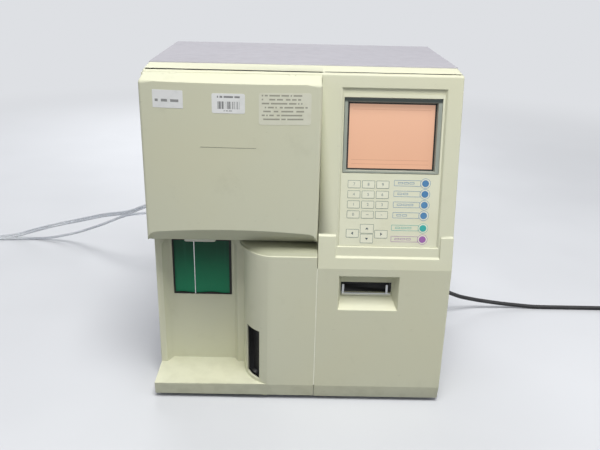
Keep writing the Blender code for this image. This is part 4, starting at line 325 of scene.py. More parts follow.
def spun(bm, profile, centre, axis, steps=32, closed=False):
    """Turn a profile of (radius, height) pairs round an axis through a centre."""
    along = Vector(axis).normalized()
    out = Vector((along.y, along.z, along.x))
    out = (out - along * out.dot(along)).normalized()
    known = set(bm.verts)
    verts = [bm.verts.new(Vector(centre) + out * radius + along * height) for radius, height in profile]
    edges = [bm.edges.new(pair) for pair in zip(verts, verts[1:])]
    if closed:
        edges.append(bm.edges.new((verts[-1], verts[0])))
    bmesh.ops.spin(bm, geom=verts + edges, cent=centre, axis=along, angle=math.tau, steps=steps, use_merge=True)
    fresh = [vert for vert in bm.verts if vert not in known]
    bmesh.ops.remove_doubles(bm, verts=fresh, dist=1e-6)
    fresh = [vert for vert in bm.verts if vert not in known]
    bmesh.ops.recalc_face_normals(bm, faces=list({face for vert in fresh for face in vert.link_faces}))


TIE_WIDTH, TIE_SHEET = 0.0045, 0.0005


def coil_tie(name, centre, radius, bundle, angle, paint):
    """A flat strap closed round the turns of a coil at one place."""
    wide, high = bundle[0] + 0.0006, bundle[1] - 0.0003
    angle = math.radians(angle)
    out = Vector((math.cos(angle), math.sin(angle), 0.0))
    middle = Vector((centre[0], behind(centre[1]), high / 2 + 0.0006)) + out * radius
    bm = bmesh.new()
    bmesh.ops.create_cube(bm, size=1.0)
    bmesh.ops.scale(bm, vec=(wide, TIE_WIDTH, high), verts=bm.verts)
    long = [e for e in bm.edges if abs(e.verts[0].co.y - e.verts[1].co.y) > 0.001]
    bmesh.ops.bevel(bm, geom=long, offset=0.0024, segments=4, profile=0.5, affect="EDGES", material=-1)
    ends = [f for f in bm.faces if abs(f.normal.y) > 0.9]
    bmesh.ops.delete(bm, geom=ends, context="FACES")
    bmesh.ops.rotate(bm, cent=(0, 0, 0), matrix=Matrix.Rotation(angle, 3, "Z"), verts=bm.verts)
    bmesh.ops.translate(bm, vec=middle, verts=bm.verts)
    made = piece(name, bm, paint)
    wall = made.modifiers.new("Thickness", "SOLIDIFY")
    wall.thickness = TIE_SHEET
    wall.offset = 1.0
    return made


LEAD, REST_Z = 0.0073, 0.0038
LEAD_COIL, COIL_RADIUS, PLUG_Z = (0.64, 0.2547), 0.042, 0.019
LEAD_OUT = (0.2623, behind(0.275), 0.05)
lead_route = (
    (0.2623, 0.275, 0.05), (0.2665, 0.275, 0.0499), (0.273, 0.276, 0.0478), (0.283, 0.2787, 0.0424),
    (0.304, 0.287, 0.0315), (0.325, 0.294, 0.0238), (0.3457, 0.299, 0.0178), (0.3855, 0.303, 0.0105),
    (0.4155, 0.3045, 0.0068), (0.44, 0.3045, 0.0046), (0.4635, 0.304, 0.0038), (0.504, 0.304, 0.0038),
    (0.545, 0.304, 0.0038), (0.575, 0.304, 0.0038), (0.612, 0.304, 0.0038), (0.64, 0.304, 0.0038),
)

rubber_cord = Paint("lead_sheath", tone(24, 24, 26), 0.55)
grain = rubber_cord.noise(700.0, 2.0)
rubber_cord.feed("Roughness", grain.fade(0.2, 0.8) * 0.15 + 0.48)
rubber_cord.tint(rubber_cord.noise(40.0, 3.0).fade(0.45, 0.75), tone(22, 22, 24), tone(42, 42, 43))
rubber_cord.relief(grain, 0.15, 0.0002)

inner, middle, outer = (COIL_RADIUS + k * LEAD for k in (-1, 0, 1))
low, high = REST_Z, REST_Z + LEAD
stops = ((outer, low), (middle, low), (inner, low), (inner, high), (middle, high), (outer, high))
lead_line = smooth_route(lead_route)
lead_line += wound(LEAD_COIL, 90.0, -1, stops, 5.25)
coil_y = behind(LEAD_COIL[1])
plug_x, plug_y = LEAD_COIL[0] + outer, coil_y - 0.0289 - 0.02
for y, z in (
    (coil_y - 0.01, high), (coil_y - 0.02, high + 0.0006), (coil_y - 0.03, high + 0.003),
    (plug_y + 0.006, 0.018), (plug_y - 0.004, PLUG_Z),
):
    lead_line.append(Vector((plug_x, y, z)))
lead = cord_piece("lead", lead_line, LEAD, rubber_cord, ("mains_lead", "mains_lead_coil"))

# The wall plug: a round grip with ribs, a bend sleeve with rings, and two bright pins.
plug_body = Paint("plug_moulding", tone(26, 26, 28), 0.42)
plug_body.relief(plug_body.noise(1200.0, 2.0), 0.12, 0.0002)
pin_metal = Paint("plug_pins", tone(205, 205, 208), 0.22, Metallic=1.0)
pin_metal.feed("Roughness", pin_metal.noise(400.0).fade(0.2, 0.9) * 0.2 + 0.15)
bm = bmesh.new()
profile = [(0.0, 0.0), (0.0044, 0.0)]
for i in range(6):
    at, radius = 0.002 + 0.0038 * i, 0.0046 + 0.00015 * i
    profile += [(radius, at), (radius, at + 0.0022), (0.004, at + 0.0026), (0.004, at + 0.0036)]
profile += [
    (0.006, 0.026), (0.0085, 0.0275), (0.011, 0.03), (0.015, 0.0345), (0.018, 0.04), (0.0184, 0.043),
    (0.0176, 0.0445), (0.0176, 0.0475), (0.0184, 0.049), (0.0184, 0.053), (0.0178, 0.0545), (0.0184, 0.056),
    (0.0184, 0.062), (0.0172, 0.0638), (0.006, 0.064), (0.0, 0.064),
]
spun(bm, profile, (plug_x, plug_y, PLUG_Z), (0, -1, 0), 36)
wall_plug = piece("wall_plug_body", bm, plug_body, ("wall_plug",))
bm = bmesh.new()
for side in (-1, 1):
    pin = [(0, 0.0625), (0.0024, 0.0625), (0.0024, 0.0815), (0.002, 0.0826), (0.0012, 0.083), (0, 0.083)]
    spun(bm, pin, (plug_x + side * 0.0095, plug_y, PLUG_Z), (0, -1, 0), 20)
wall_pins = piece("wall_plug_pins", bm, pin_metal)
lead_tie = coil_tie("lead_tie", LEAD_COIL, COIL_RADIUS, (0.0219, 0.015), 200.0, plug_body)

# The appliance plug in the inlet, a moulded block that narrows into ringed strain relief.
ENTRY_Y, INLET_Z, SIDE = behind(0.275), 0.05, 0.21
bm = bmesh.new()
bmesh.ops.create_cube(bm, size=1.0)
bmesh.ops.scale(bm, vec=(0.0197, 0.028, 0.02), verts=bm.verts)
bmesh.ops.translate(bm, vec=(SIDE + 0.0003 + 0.00985, ENTRY_Y, INLET_Z), verts=bm.verts)
long = [e for e in bm.edges if abs(e.verts[0].co.x - e.verts[1].co.x) > 0.001]
bmesh.ops.bevel(bm, geom=long, offset=0.005, segments=5, profile=0.5, affect="EDGES", material=-1)
far = [e for e in bm.edges if all(v.co.x > SIDE + 0.019 for v in e.verts)]
bmesh.ops.bevel(bm, geom=far, offset=0.0022, segments=3, profile=0.5, affect="EDGES", material=-1)
profile = [(0, 0.017), (0.0095, 0.017), (0.0095, 0.0205), (0.0088, 0.022)]
for i in range(6):
    at, radius = 0.0235 + 0.0045 * i, 0.008 - 0.0006 * i
    profile += [(radius, at), (radius, at + 0.0026), (radius - 0.001, at + 0.0031), (radius - 0.001, at + 0.0041)]
profile += [(0.0044, 0.0512), (0.0042, 0.0519), (0, 0.0519)]
spun(bm, profile, (SIDE, ENTRY_Y, INLET_Z), (1, 0, 0), 28)
spun(bm, [(0, -0.019), (0.0062, -0.019), (0.0062, 0.002), (0, 0.002)], (SIDE, ENTRY_Y, INLET_Z), (1, 0, 0), 6)
inlet_plug = piece("inlet_plug_body", bm, plug_body, ("inlet_plug",))


def run_length(line):
    return sum((b - a).length for a, b in zip(line, line[1:]))


# Reagent and waste tubes
# Three soft clear tubes pushed over the barbed nipples at the back. They hang out to the left,
# meet the table and end in small tied coils, each with a white push-in connector.
clear_tube = Paint(
    "tube_wall", tone(224, 228, 232), 0.18, IOR=1.45, Transmission_Weight=0.55, Specular_IOR_Level=0.6
)
clear_tube.tint(clear_tube.noise(14.0, 2.0).fade(0.35, 0.7), tone(232, 235, 238), tone(214, 218, 224))
clear_tube.feed("Roughness", clear_tube.noise(60.0).fade(0.3, 0.8) * 0.12 + 0.12)
connector_white = Paint("connector_plastic", tone(232, 232, 226), 0.38)
connector_white.relief(connector_white.noise(900.0, 2.0), 0.1, 0.0002)

tube_routes = {
    "tube_upper": (
        (-0.19, 0.3503, 0.178), (-0.1905, 0.364, 0.178), (-0.197, 0.379, 0.1775), (-0.215, 0.389, 0.176),
        (-0.24, 0.392, 0.173), (-0.268, 0.39, 0.1695), (-0.2965, 0.388, 0.1635), (-0.334, 0.404, 0.145),
        (-0.399, 0.455, 0.118), (-0.465, 0.511, 0.085), (-0.533, 0.557, 0.055), (-0.597, 0.588, 0.028),
        (-0.64, 0.601, 0.011), (-0.666, 0.606, 0.0045), (-0.69, 0.6075, 0.0022), (-0.7268, 0.6075, 0.0022),
        (-0.742, 0.6075, 0.0022),
    ),
    "tube_lower": (
        (-0.176, 0.3503, 0.178), (-0.1765, 0.366, 0.1778), (-0.183, 0.384, 0.175), (-0.203, 0.3965, 0.1705),
        (-0.232, 0.401, 0.1665), (-0.265, 0.397, 0.163), (-0.2965, 0.39, 0.1588), (-0.334, 0.404, 0.1406),
        (-0.399, 0.4545, 0.1136), (-0.465, 0.51, 0.0806), (-0.533, 0.556, 0.0506), (-0.597, 0.586, 0.0236),
        (-0.638, 0.596, 0.008), (-0.66, 0.599, 0.003), (-0.69, 0.599, 0.0022), (-0.735, 0.599, 0.0022),
        (-0.77, 0.599, 0.0022), (-0.8, 0.599, 0.0022), (-0.8152, 0.599, 0.0022),
    ),
    "tube_single": (
        (-0.162, 0.3503, 0.152), (-0.1625, 0.37, 0.152), (-0.17, 0.39, 0.151), (-0.19, 0.405, 0.149),
        (-0.222, 0.413, 0.147), (-0.262, 0.413, 0.1435), (-0.305, 0.415, 0.137), (-0.346, 0.43, 0.126),
        (-0.409, 0.484, 0.085), (-0.481, 0.55, 0.04), (-0.515, 0.574, 0.023), (-0.548, 0.588, 0.011),
        (-0.575, 0.593, 0.005), (-0.604, 0.594, 0.003), (-0.643, 0.591, 0.003), (-0.682, 0.588, 0.003),
        (-0.7152, 0.588, 0.003), (-0.735, 0.588, 0.003),
    ),
}
# name: diameter, coil centre, start angle, way round, mean radius, ring size, turn order, turns, side of connector
tube_coils = {
    "tube_upper": (0.004, (-0.742, 0.6335), -90.0, -1, 0.022, (0.0122, 0.0124), (2, 1, 0, 0, 1, 2, 2, 1), 7.35, 1),
    "tube_lower": (0.004, (-0.8152, 0.573), 90.0, 1, 0.022, (0.0122, 0.0124), (2, 1, 0, 0, 1, 2, 2, 1), 7.35, -1),
    "tube_single": (0.0055, (-0.735, 0.5553), 90.0, 1, 0.03, (0.0112, 0.0168), (1, 0, 0, 1, 1, 0), 5.35, -1),
}
for name, route in tube_routes.items():
    diameter, centre, start, way, radius, ring, order, turns, side = tube_coils[name]
    pitch = diameter + 0.0001
    columns = max(order) + 1
    rings = []
    for i, column in enumerate(order):
        layer = i // columns
        rings.append((radius + (column - (columns - 1) / 2) * pitch, route[-1][2] + layer * pitch))
    line = smooth_route(route) + wound(centre, start, way, rings, turns)
    rest_z = ring[1] + 0.0048
    aside = radius - 0.002
    mouth = Vector((centre[0] - 0.006, behind(centre[1]) + side * aside, rest_z))
    last = line[-1]
    for share in (0.2, 0.4, 0.6, 0.8):
        ease = share * share * (3 - 2 * share)
        reach = last.lerp(mouth, share)
        bow = math.sin(math.pi * share) * 0.0042
        line.append(Vector((reach.x, reach.y + side * bow, last.z + (rest_z - last.z) * ease)))
    line += [mouth, mouth + Vector((0.004, 0.0, 0.0))]
    tube = cord_piece(name + "_run", line, diameter, clear_tube, (name, name + "_coil"))
    bm = bmesh.new()
    bore = diameter / 2
    profile = [
        (0, 0.0005), (bore - 0.0006, 0.0005), (bore + 0.0003, 0.0045), (bore - 0.0004, 0.0048),
        (bore + 0.0003, 0.0085), (0.003, 0.0088), (0.0044, 0.01), (0.0044, 0.0122), (0.0037, 0.0126),
        (0.0037, 0.015), (0.0044, 0.0154), (0.0044, 0.018), (0.0036, 0.0188), (0.0034, 0.0218), (0.002, 0.022),
        (0.0018, 0.018), (0, 0.018),
    ]
    spun(bm, profile, mouth, (1, 0, 0), 24)
    end = piece(name + "_fitting", bm, connector_white, (name + "_connector",))
    at = 20.0 if side < 0 else 160.0
    tie = coil_tie(name + "_tie", centre, radius, ring, at, connector_white)
    behind(route[0][1])
    round(run_length(line), 2)


# Front mouldings
# The console with the top band and left post, the lower left moulding and the hinged cover are
# all injection moulded in one khaki cream plastic with a fine spark texture and softened edges.
HARD = math.radians(34.0)


def solid_mesh(node):
    """A CAD solid's mesh with its corners merged."""
    bm = bmesh.new()
    bm.from_mesh(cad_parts[node].data)
    bmesh.ops.remove_doubles(bm, verts=bm.verts, dist=1e-6)
    return bm


def edged(node, paint, width=0.0, body="main_unit", least=0.0006, below=1.0, creases=(), shape=None):
    """A CAD solid's mesh with its hard edges rounded by a width, riding and standing in for the node.

    Edges shorter than `least` go first, where they lie below a height. Edges level with a crease stay sharp.
    """
    bm = solid_mesh(node)
    if shape:
        shape(bm)
    if width:
        slivers = [edge for edge in bm.edges if max(vert.co.z for vert in edge.verts) < below]
        bmesh.ops.dissolve_degenerate(bm, dist=least, edges=slivers)
        room = {vert: min((edge.calc_length() for edge in vert.link_edges), default=0.0) for vert in bm.verts}
        hard = [
            edge for edge in bm.edges
            if edge.is_manifold and edge.calc_face_angle(0.0) > HARD
            and min(room[vert] for vert in edge.verts) > 1.5 * width
        ]
        bmesh.ops.bevel(
            bm, geom=hard, offset=width, segments=2, profile=0.5, affect="EDGES", clamp_overlap=False, material=-1
        )
    made = piece(node + "_skin", bm, paint, (node,), body)
    for edge in made.data.edges:
        heights = [made.data.vertices[k].co.z for k in edge.vertices]
        if any(max(abs(height - crease) for height in heights) < 0.0004 for crease in creases):
            edge.use_edge_sharp = True
    made.modifiers.new("Normals", "WEIGHTED_NORMAL").keep_sharp = True


# The plastic has yellowed a little and has faint handling marks; under the cover's arch it carries painted shade
fresh_cream, aged_cream, dark_cream = tone(205, 206, 183), tone(207, 206, 179), tone(165, 165, 139)
cream_front = Paint("cream_front", fresh_cream, 0.5, Specular_IOR_Level=0.3)
x, y, z = cream_front.axes()
aged = cream_front.noise(5.0, 3.0).fade(0.35, 0.7)
grime = cream_front.noise(22.0, 5.0, 0.65).fade(0.58, 0.8)
low = z.fade(0.05, 0.008) * cream_front.noise(60.0, 4.0).fade(0.4, 0.7)
# Painted shade: the ledge under the cover's arch is darkened where the cover's lip shades it
cove = z.fade(0.2333, 0.2338) * z.fade(0.2402, 0.2397) * y.fade(behind(0.0002), behind(0.003)) * (x < 0.0232)
streak = cream_front.noise(1.0, 2.0, 0.5, (90.0, 90.0, 260.0)).fade(0.73, 0.77)
hue = cream_front.mix(aged * 0.7, fresh_cream, aged_cream)
hue = cream_front.mix(grime * 0.16, hue, dark_cream)
hue = cream_front.mix(low * 0.25, hue, dark_cream)
# Painted shade in the cove under the cover's arch
hue = cream_front.mix(cove * 0.8, hue, tone(146, 148, 126))
cream_front.tint(streak * 0.2, hue, dark_cream)
cream_front.feed("Roughness", grime * 0.12 + cream_front.noise(300.0, 2.0) * 0.1 + 0.44)
cream_front.relief(cream_front.noise(1600.0, 2.0, 0.6), 0.16, 0.00025)


RECESS_DEPTH, WALL_FOOT, WALL_UPRIGHT = 0.003, 0.0245, 0.0188
LEAN, LEDGES, LEDGE_RISE = 0.1685, ((0.263, 0.0077, 0.0102), (0.2334, 0.0028, 0.0053)), 0.0011


def console_ledges(bm):
    """Stand the keypad recess's upper wall upright, and slope the ledges below it towards the front."""
    for vert in bm.verts:
        spot = console_place.inverted() @ vert.co
        depth = vert.co.y - behind(0.0)
        if abs(spot.y - RECESS_DEPTH) < 0.0003 and abs(spot.z + WALL_FOOT) < 0.0005:
            vert.co = console_place @ Vector((spot.x, spot.y, -WALL_UPRIGHT))
        for height, front, back in LEDGES:
            rise = vert.co.z - height
            if -0.0025 < rise < 0.0004:
                ahead, beyond = (abs(depth - edge - rise * LEAN) < 0.0006 for edge in (front, back))
                vert.co.z += -LEDGE_RISE if ahead else LEDGE_RISE if beyond else 0.0
                vert.co.y += -0.0002 if ahead else 0.0002


def level_skirt(bm):
    """Bring the foot of the column's skirt down level with the rest of the moulding."""
    for vert in bm.verts:
        if 0.0066 < vert.co.z < 0.0105 and vert.co.y < behind(0.0035):
            vert.co.z, vert.co.y = 0.0065, behind(0.0036)
    bmesh.ops.remove_doubles(bm, verts=bm.verts, dist=1e-4)


console_place = Matrix.Translation((0.0, behind(0.046), 0.4752)) @ Matrix.Rotation(
    -math.atan2(0.0435, 0.2582), 4, "X"
)
SKIRT, CONSOLE_FOOT, LEDGE_FRONT, LEDGE_BACK = 0.027, 0.217, 0.2619, 0.2641
creases = (SKIRT, CONSOLE_FOOT, LEDGE_FRONT, LEDGE_BACK)
edged("front_frame", cream_front, 0.0009, creases=creases, shape=console_ledges)
edged("bay_moulding", cream_front, 0.0009, creases=(SKIRT,), shape=level_skirt)
edged("front_cover", cream_front, 0.0008, "front_cover", least=0.0012, below=0.3)
hinge_steel = Paint("hinge_steel", tone(196, 198, 200), 0.28, Metallic=1.0)
hinge_steel.feed("Roughness", hinge_steel.noise(500.0).fade(0.2, 0.9) * 0.2 + 0.18)
for side in ("left", "right"):
    edged("hinge_pin_" + side, hinge_steel)

# Labels on the cover
# Two white paper stickers and a cream one with rounded corners, stuck on the bowed face, and a
# thin printed line. The stickers keep plain bars where print would be; the name place is bare.
LABEL_SHEET = 0.00022


def stand(bm, known, spot, thick, border=0.0):
    """Stand the flat faces drawn since `known` upright at a spot, as plates or as frames of a border's width."""
    faces = [face for face in bm.faces if face not in known]
    verts = list({vert for face in faces for vert in face.verts})
    bmesh.ops.rotate(bm, cent=(0, 0, 0), matrix=Matrix.Rotation(math.radians(90), 3, "X"), verts=verts)
    bmesh.ops.translate(bm, vec=spot, verts=verts)
    if border:
        ring = bmesh.ops.inset_region(
            bm, faces=faces, thickness=border, use_even_offset=True, use_boundary=True
        )["faces"]
        bmesh.ops.delete(bm, geom=faces, context="FACES")
        faces = ring
    grown = bmesh.ops.extrude_face_region(bm, geom=faces)["geom"]
    verts = [item for item in grown if isinstance(item, bmesh.types.BMVert)]
    bmesh.ops.translate(bm, vec=(0, thick, 0), verts=verts)
    bmesh.ops.recalc_face_normals(bm, faces=[face for face in bm.faces if face not in known])


def plate(bm, left, right, low, high, front, thick, radius=0.0, border=0.0):
    """An upright plate or frame that faces the front."""
    known = set(bm.faces)
    corners = bmesh.ops.create_grid(bm, x_segments=1, y_segments=1, size=0.5)["verts"]
    bmesh.ops.scale(bm, vec=(right - left, high - low, 1.0), verts=corners)
    if radius:
        bmesh.ops.bevel(bm, geom=corners, offset=radius, segments=4, profile=0.5, affect="VERTICES", material=-1)
    stand(bm, known, ((left + right) / 2, front, (low + high) / 2), thick, border)


def disc(bm, x, z, radius, front, thick, border=0.0):
    known = set(bm.faces)
    bmesh.ops.create_circle(bm, cap_ends=True, segments=36, radius=radius)
    stand(bm, known, (x, front, z), thick, border)


def slice_across(bm, start, step, count):
    """Cut a mesh across X at even steps."""
    for i in range(1, count):
        everything = bm.verts[:] + bm.edges[:] + bm.faces[:]
        bmesh.ops.bisect_plane(bm, geom=everything, plane_co=(start + step * i, 0, 0), plane_no=(1, 0, 0))


COVER_SET, COVER_BOW, COVER_MIDDLE, COVER_HALF, BEND_STEP = 0.003, 0.0118, -0.075, 0.135, 0.006


def bend_to_cover(bm):
    """Bend flat plates drawn at Y = 0 to the cover's bowed face."""
    left, right = (pick(vert.co.x for vert in bm.verts) for pick in (min, max))
    slice_across(bm, left, BEND_STEP, round((right - left) / BEND_STEP))
    for vert in bm.verts:
        vert.co.y += behind(COVER_SET + COVER_BOW * ((vert.co.x - COVER_MIDDLE) / COVER_HALF) ** 2)


def bars(paint, x, z, left, right, top, pitch, rows, height, cell, ragged):
    """1 on rows of plain bars with chance gaps, left where small print would be."""
    down = (top - z) / pitch
    row = down.floor()
    word = ((x - left) / cell).floor() + row * 37.0
    end = right - paint.dice(row + 0.5) * ragged
    return (down % 1.0 < height) * (down > 0.0) * (down < rows) * (x > left) * (x < end) * (paint.dice(word) > 0.24)


def sticker(name, left, right, low, high, radius, colour, second, pattern, ink):
    """A label on the cover with a printed pattern."""
    paint = Paint(name, colour, 0.48, Specular_IOR_Level=0.35)
    x, _, z = paint.axes()
    hue = paint.mix(paint.noise(90.0, 3.0).fade(0.4, 0.75) * 0.7, colour, second)
    if pattern:
        hue = paint.mix(pattern(paint, x, z) * 0.75, hue, ink)
    paint.feed("Base Color", hue)
    paint.feed("Roughness", paint.noise(260.0, 2.0).fade(0.2, 0.8) * 0.2 + 0.36)
    paint.relief(paint.noise(1800.0, 2.0), 0.08, 0.0001)
    bm = bmesh.new()
    plate(bm, left, right, low, high, -0.00012, LABEL_SHEET, radius)
    bend_to_cover(bm)
    piece(name, bm, paint, body="front_cover")


def stripes(paint, x, z):
    """Upright stripes of chance widths with one bar above and one below."""
    fine = ((x + 0.1089) / 0.00045).floor()
    code = (paint.dice(fine) > 0.42) * (z > 0.4345) * (z < 0.444) * (x > -0.1086) * (x < -0.0803)
    above = bars(paint, x, z, -0.1088, -0.079, 0.451, 0.003, 1, 0.8, 0.0017, 0.001)
    below = bars(paint, x, z, -0.1005, -0.089, 0.4328, 0.0015, 1, 0.7, 0.0013, 0.001)
    return (code + above + below).limited()


sticker(
    "left_sticker", -0.1916, -0.1523, 0.4333, 0.4561, 0.0008, tone(226, 227, 226), tone(214, 216, 214),
    lambda paint, x, z: bars(paint, x, z, -0.1885, -0.156, 0.4445, 0.0062, 1, 0.55, 0.004, 0.002),
    tone(92, 94, 92),
)
sticker(
    "striped_sticker", -0.1156, -0.0736, 0.429, 0.4541, 0.0022, tone(228, 229, 227), tone(216, 218, 215), stripes,
    tone(70, 72, 72),
)
sticker(
    "cream_sticker", -0.0562, 0.0102, 0.4153, 0.4558, 0.003, tone(214, 214, 196), tone(206, 205, 184),
    lambda paint, x, z: bars(paint, x, z, -0.0525, 0.0062, 0.4535, 0.005, 7, 0.4, 0.0019, 0.008),
    tone(128, 128, 114),
)
line_ink = Paint("cover_line_ink", tone(104, 104, 92), 0.5)
line_ink.tint(line_ink.noise(300.0, 2.0).fade(0.3, 0.8), tone(98, 98, 88), tone(122, 122, 108))
bm = bmesh.new()
plate(bm, -0.1317, -0.0596, 0.384, 0.38445, -0.00009, 0.0002)
bend_to_cover(bm)
piece("cover_line", bm, line_ink, body="front_cover")

# Parting tongue
# The two lower mouldings overlap behind their parting line. The tongue between them is painted paler than the
# moulding, a painted highlight along the parting.
# Painted highlight: a paler cream than the moulding, for the bright line along the parting
painted_highlight = Paint("painted_highlight_edge", tone(232, 232, 214), 0.4)
painted_highlight.tint(painted_highlight.noise(60.0, 3.0).fade(0.35, 0.7), tone(238, 238, 222), tone(226, 226, 206))
painted_highlight.relief(painted_highlight.noise(1600.0, 2.0), 0.1, 0.0002)
bm = bmesh.new()
plate(bm, 0.0234, 0.0256, 0.028, 0.216, behind(0.0003), 0.002)
piece("parting_tongue", bm, painted_highlight)

# Keypad
# A cream membrane overlay in the console's recess, printed with outlined keys, arrows and six
# coloured round function keys. The keys are embossed a little and the tabs beside them hold bars.
SLOPE = 0.26184
FILM = 0.0022


def console_piece(name, bm, paint):
    """A piece drawn with X across, Y into the face and Z up its slope, laid onto the tilted console."""
    bmesh.ops.transform(bm, matrix=console_place @ Matrix.Translation((0.0, 0.0, -SLOPE)), verts=bm.verts)
    piece(name, bm, paint)


def finish(name, colour, second, roughness=0.5, size=9.0, grain=900.0, bump=0.12, uneven=0.15, **fixed):
    """A finish with a slight change of hue, uneven gloss and a fine grain."""
    paint = Paint(name, colour, roughness, **fixed)
    paint.tint(paint.noise(size, 4.0, 0.6).fade(0.35, 0.7), colour, second)
    paint.feed("Roughness", paint.noise(size * 11.0, 3.0).fade(0.25, 0.8) * uneven + roughness - uneven / 2)
    paint.relief(paint.noise(grain, 2.0, 0.6), bump, 0.0002)
    return paint


overlay = finish(
    "keypad_film", tone(216, 217, 194), tone(211, 211, 186), 0.42, 12.0, 2200.0, 0.1, 0.16, Specular_IOR_Level=0.35
)
edged("keypad_overlay", overlay)
outline_ink = finish("key_outline_ink", tone(110, 128, 122), tone(122, 138, 130), 0.45)
number_ink = finish("key_number_ink", tone(116, 130, 130), tone(130, 142, 140), 0.45)
arrow_ink = finish("arrow_ink", tone(58, 76, 82), tone(72, 88, 92), 0.45)
key_film = finish("key_film", tone(222, 223, 203), tone(217, 217, 195), 0.4, 14.0, 2200.0, 0.1)

KEY, PITCH, FIRST = (0.0172, 0.0105), (0.0193, 0.01383), (0.0625, 0.1223)
ARROWS = {
    "left": (0.0623, 0.0796, 0.0434, 0.0552), "up": (0.0813, 0.0999, 0.0495, 0.0624),
    "down": (0.0818, 0.0995, 0.0358, 0.0487), "right": (0.1012, 0.119, 0.043, 0.0544),
}
keys = [
    (FIRST[0] + column * PITCH[0], FIRST[0] + column * PITCH[0] + KEY[0],
     FIRST[1] - row * PITCH[1] - KEY[1], FIRST[1] - row * PITCH[1])
    for row in range(4) for column in range(3)
]
bm, faces = bmesh.new(), bmesh.new()
for left, right, low, high in [*keys, *ARROWS.values()]:
    plate(faces, left, right, low, high, FILM - 0.00018, 0.0004, 0.0011)
    plate(bm, left, right, low, high, FILM - 0.00024, 0.0003, 0.0011, 0.00052)
console_piece("key_faces", faces, key_film)
console_piece("key_outlines", bm, outline_ink)


def mark(bm, text, x, z, size, front):
    """A printed figure, centred on a spot of the console."""
    curve = bpy.data.curves.new("mark", "FONT")
    curve.body, curve.size, curve.extrude = text, size, 0.00004
    curve.align_x, curve.align_y = "CENTER", "CENTER"
    holder = bpy.data.objects.new("mark", curve)
    mesh = bpy.data.meshes.new_from_object(holder)
    mesh.transform(Matrix.Translation((x, front, z)) @ Matrix.Rotation(math.radians(90), 4, "X"))
    bm.from_mesh(mesh)
    bpy.data.objects.remove(holder)


bm = bmesh.new()
figures = "7894561230"
for (left, right, low, high), figure in zip(keys, figures):
    mark(bm, figure, (left + right) / 2, (low + high) / 2, 0.0056, FILM - 0.00024)
for (left, right, low, high), dash in zip(keys[len(figures):], (0.0034, 0.0022)):
    middle, centre = (left + right) / 2, (low + high) / 2
    plate(bm, middle - dash / 2, middle + dash / 2, centre - 0.0003, centre + 0.0003, FILM - 0.00026, 0.0001)
console_piece("key_numbers", bm, number_ink)

bm = bmesh.new()
for turn, (left, right, low, high) in zip((90, 0, 180, -90), ARROWS.values()):
    known = set(bm.verts)
    faces = set(bm.faces)
    bmesh.ops.create_circle(bm, cap_ends=True, segments=3, radius=0.0026)
    fresh = [vert for vert in bm.verts if vert not in known]
    bmesh.ops.scale(bm, vec=(1.0, 0.72, 1.0), verts=fresh)
    bmesh.ops.rotate(bm, cent=(0, 0, 0), matrix=Matrix.Rotation(math.radians(turn), 3, "Z"), verts=fresh)
    stand(bm, faces, ((left + right) / 2, FILM - 0.00026, (low + high) / 2), 0.0001)
console_piece("arrow_marks", bm, arrow_ink)

function_keys = {
    "blue": (tone(70, 120, 165), tone(84, 132, 172), (0.1196, 0.105, 0.0901, 0.0755), 0.1249),
    "teal": (tone(52, 162, 156), tone(70, 172, 164), (0.058,), 0.124),
    "purple": (tone(150, 96, 162), tone(160, 110, 170), (0.0423,), 0.124),
}
ROUND_X, ROUND_RADIUS = 0.1672, 0.0069
rims = bmesh.new()
for name, (colour, second, heights, start) in function_keys.items():
    ink = finish(name + "_key_ink", colour, second, 0.4, 30.0, 1500.0, 0.08)
    bm = bmesh.new()
    for i, z in enumerate(heights):
        disc(rims, ROUND_X, z, ROUND_RADIUS, FILM - 0.00018, 0.0004)
        disc(bm, ROUND_X, z, 0.0047, FILM - 0.0003, 0.0004)
        disc(bm, ROUND_X, z, ROUND_RADIUS, FILM - 0.00022, 0.0003, 0.00048)
        end = ROUND_X - ROUND_RADIUS + 0.0006
        plate(bm, start, end, z - 0.004, z + 0.004, FILM - 0.00014, 0.0003, 0.0008, 0.00042)
        for k in range(3 - i % 2):
            left = start + 0.0052 + 0.0078 * k
            plate(bm, left, left + 0.0064, z - 0.0013, z + 0.0013, FILM - 0.00012, 0.0003, 0.0004, 0.00045)
    console_piece(name + "_keys", bm, ink)
console_piece("function_key_rims", rims, key_film)

# Display
# A backlit panel in salmon glass behind a slate bezel, with a thin black line round the lit
# part. The bezel is pressed into the console from the back.
slate = finish("bezel_slate", tone(132, 142, 134), tone(122, 132, 126), 0.5, 20.0, 1500.0, 0.15)
z = slate.axes()[2]
# Painted shadow: a dark band along the bezel's top, where the recess's upper edge shades it
slate.tint(
    z.fade(0.4385, 0.4415), slate.mix(slate.noise(30.0).fade(0.3, 0.7), tone(150, 156, 144), tone(140, 147, 138)),
    tone(42, 50, 47),
)
edged("display_bezel", slate, 0.0004)
rim_black = finish("display_rim_black", tone(24, 24, 24), tone(34, 34, 34), 0.4)
bm = bmesh.new()
plate(bm, 0.058, 0.1797, SLOPE - 0.1277, SLOPE - 0.0341, 0.00824, 0.0002, 0.0, 0.004)
console_piece("display_rim", bm, rim_black)
glass = Paint("display_salmon", tone(176, 130, 104), 0.16, Emission_Strength=0.42)
x, y, z = glass.axes()
hue = glass.mix(z.fade(0.345, 0.445), tone(226, 174, 142), tone(234, 184, 154))
hue = glass.mix(glass.noise(7.0, 2.0).fade(0.45, 0.8) * 0.35, hue, tone(240, 192, 152))
lines = [(abs(z - level) < 0.00035) * (abs(x - 0.1186) < 0.052) for level in (0.429, 0.363, 0.3575)]
hue = glass.mix((lines[0] + lines[1] + lines[2]).limited() * 0.5, hue, tone(186, 132, 110))
dots = (x * 2600.0).floor() % 2.0 + (z * 2600.0).floor() % 2.0
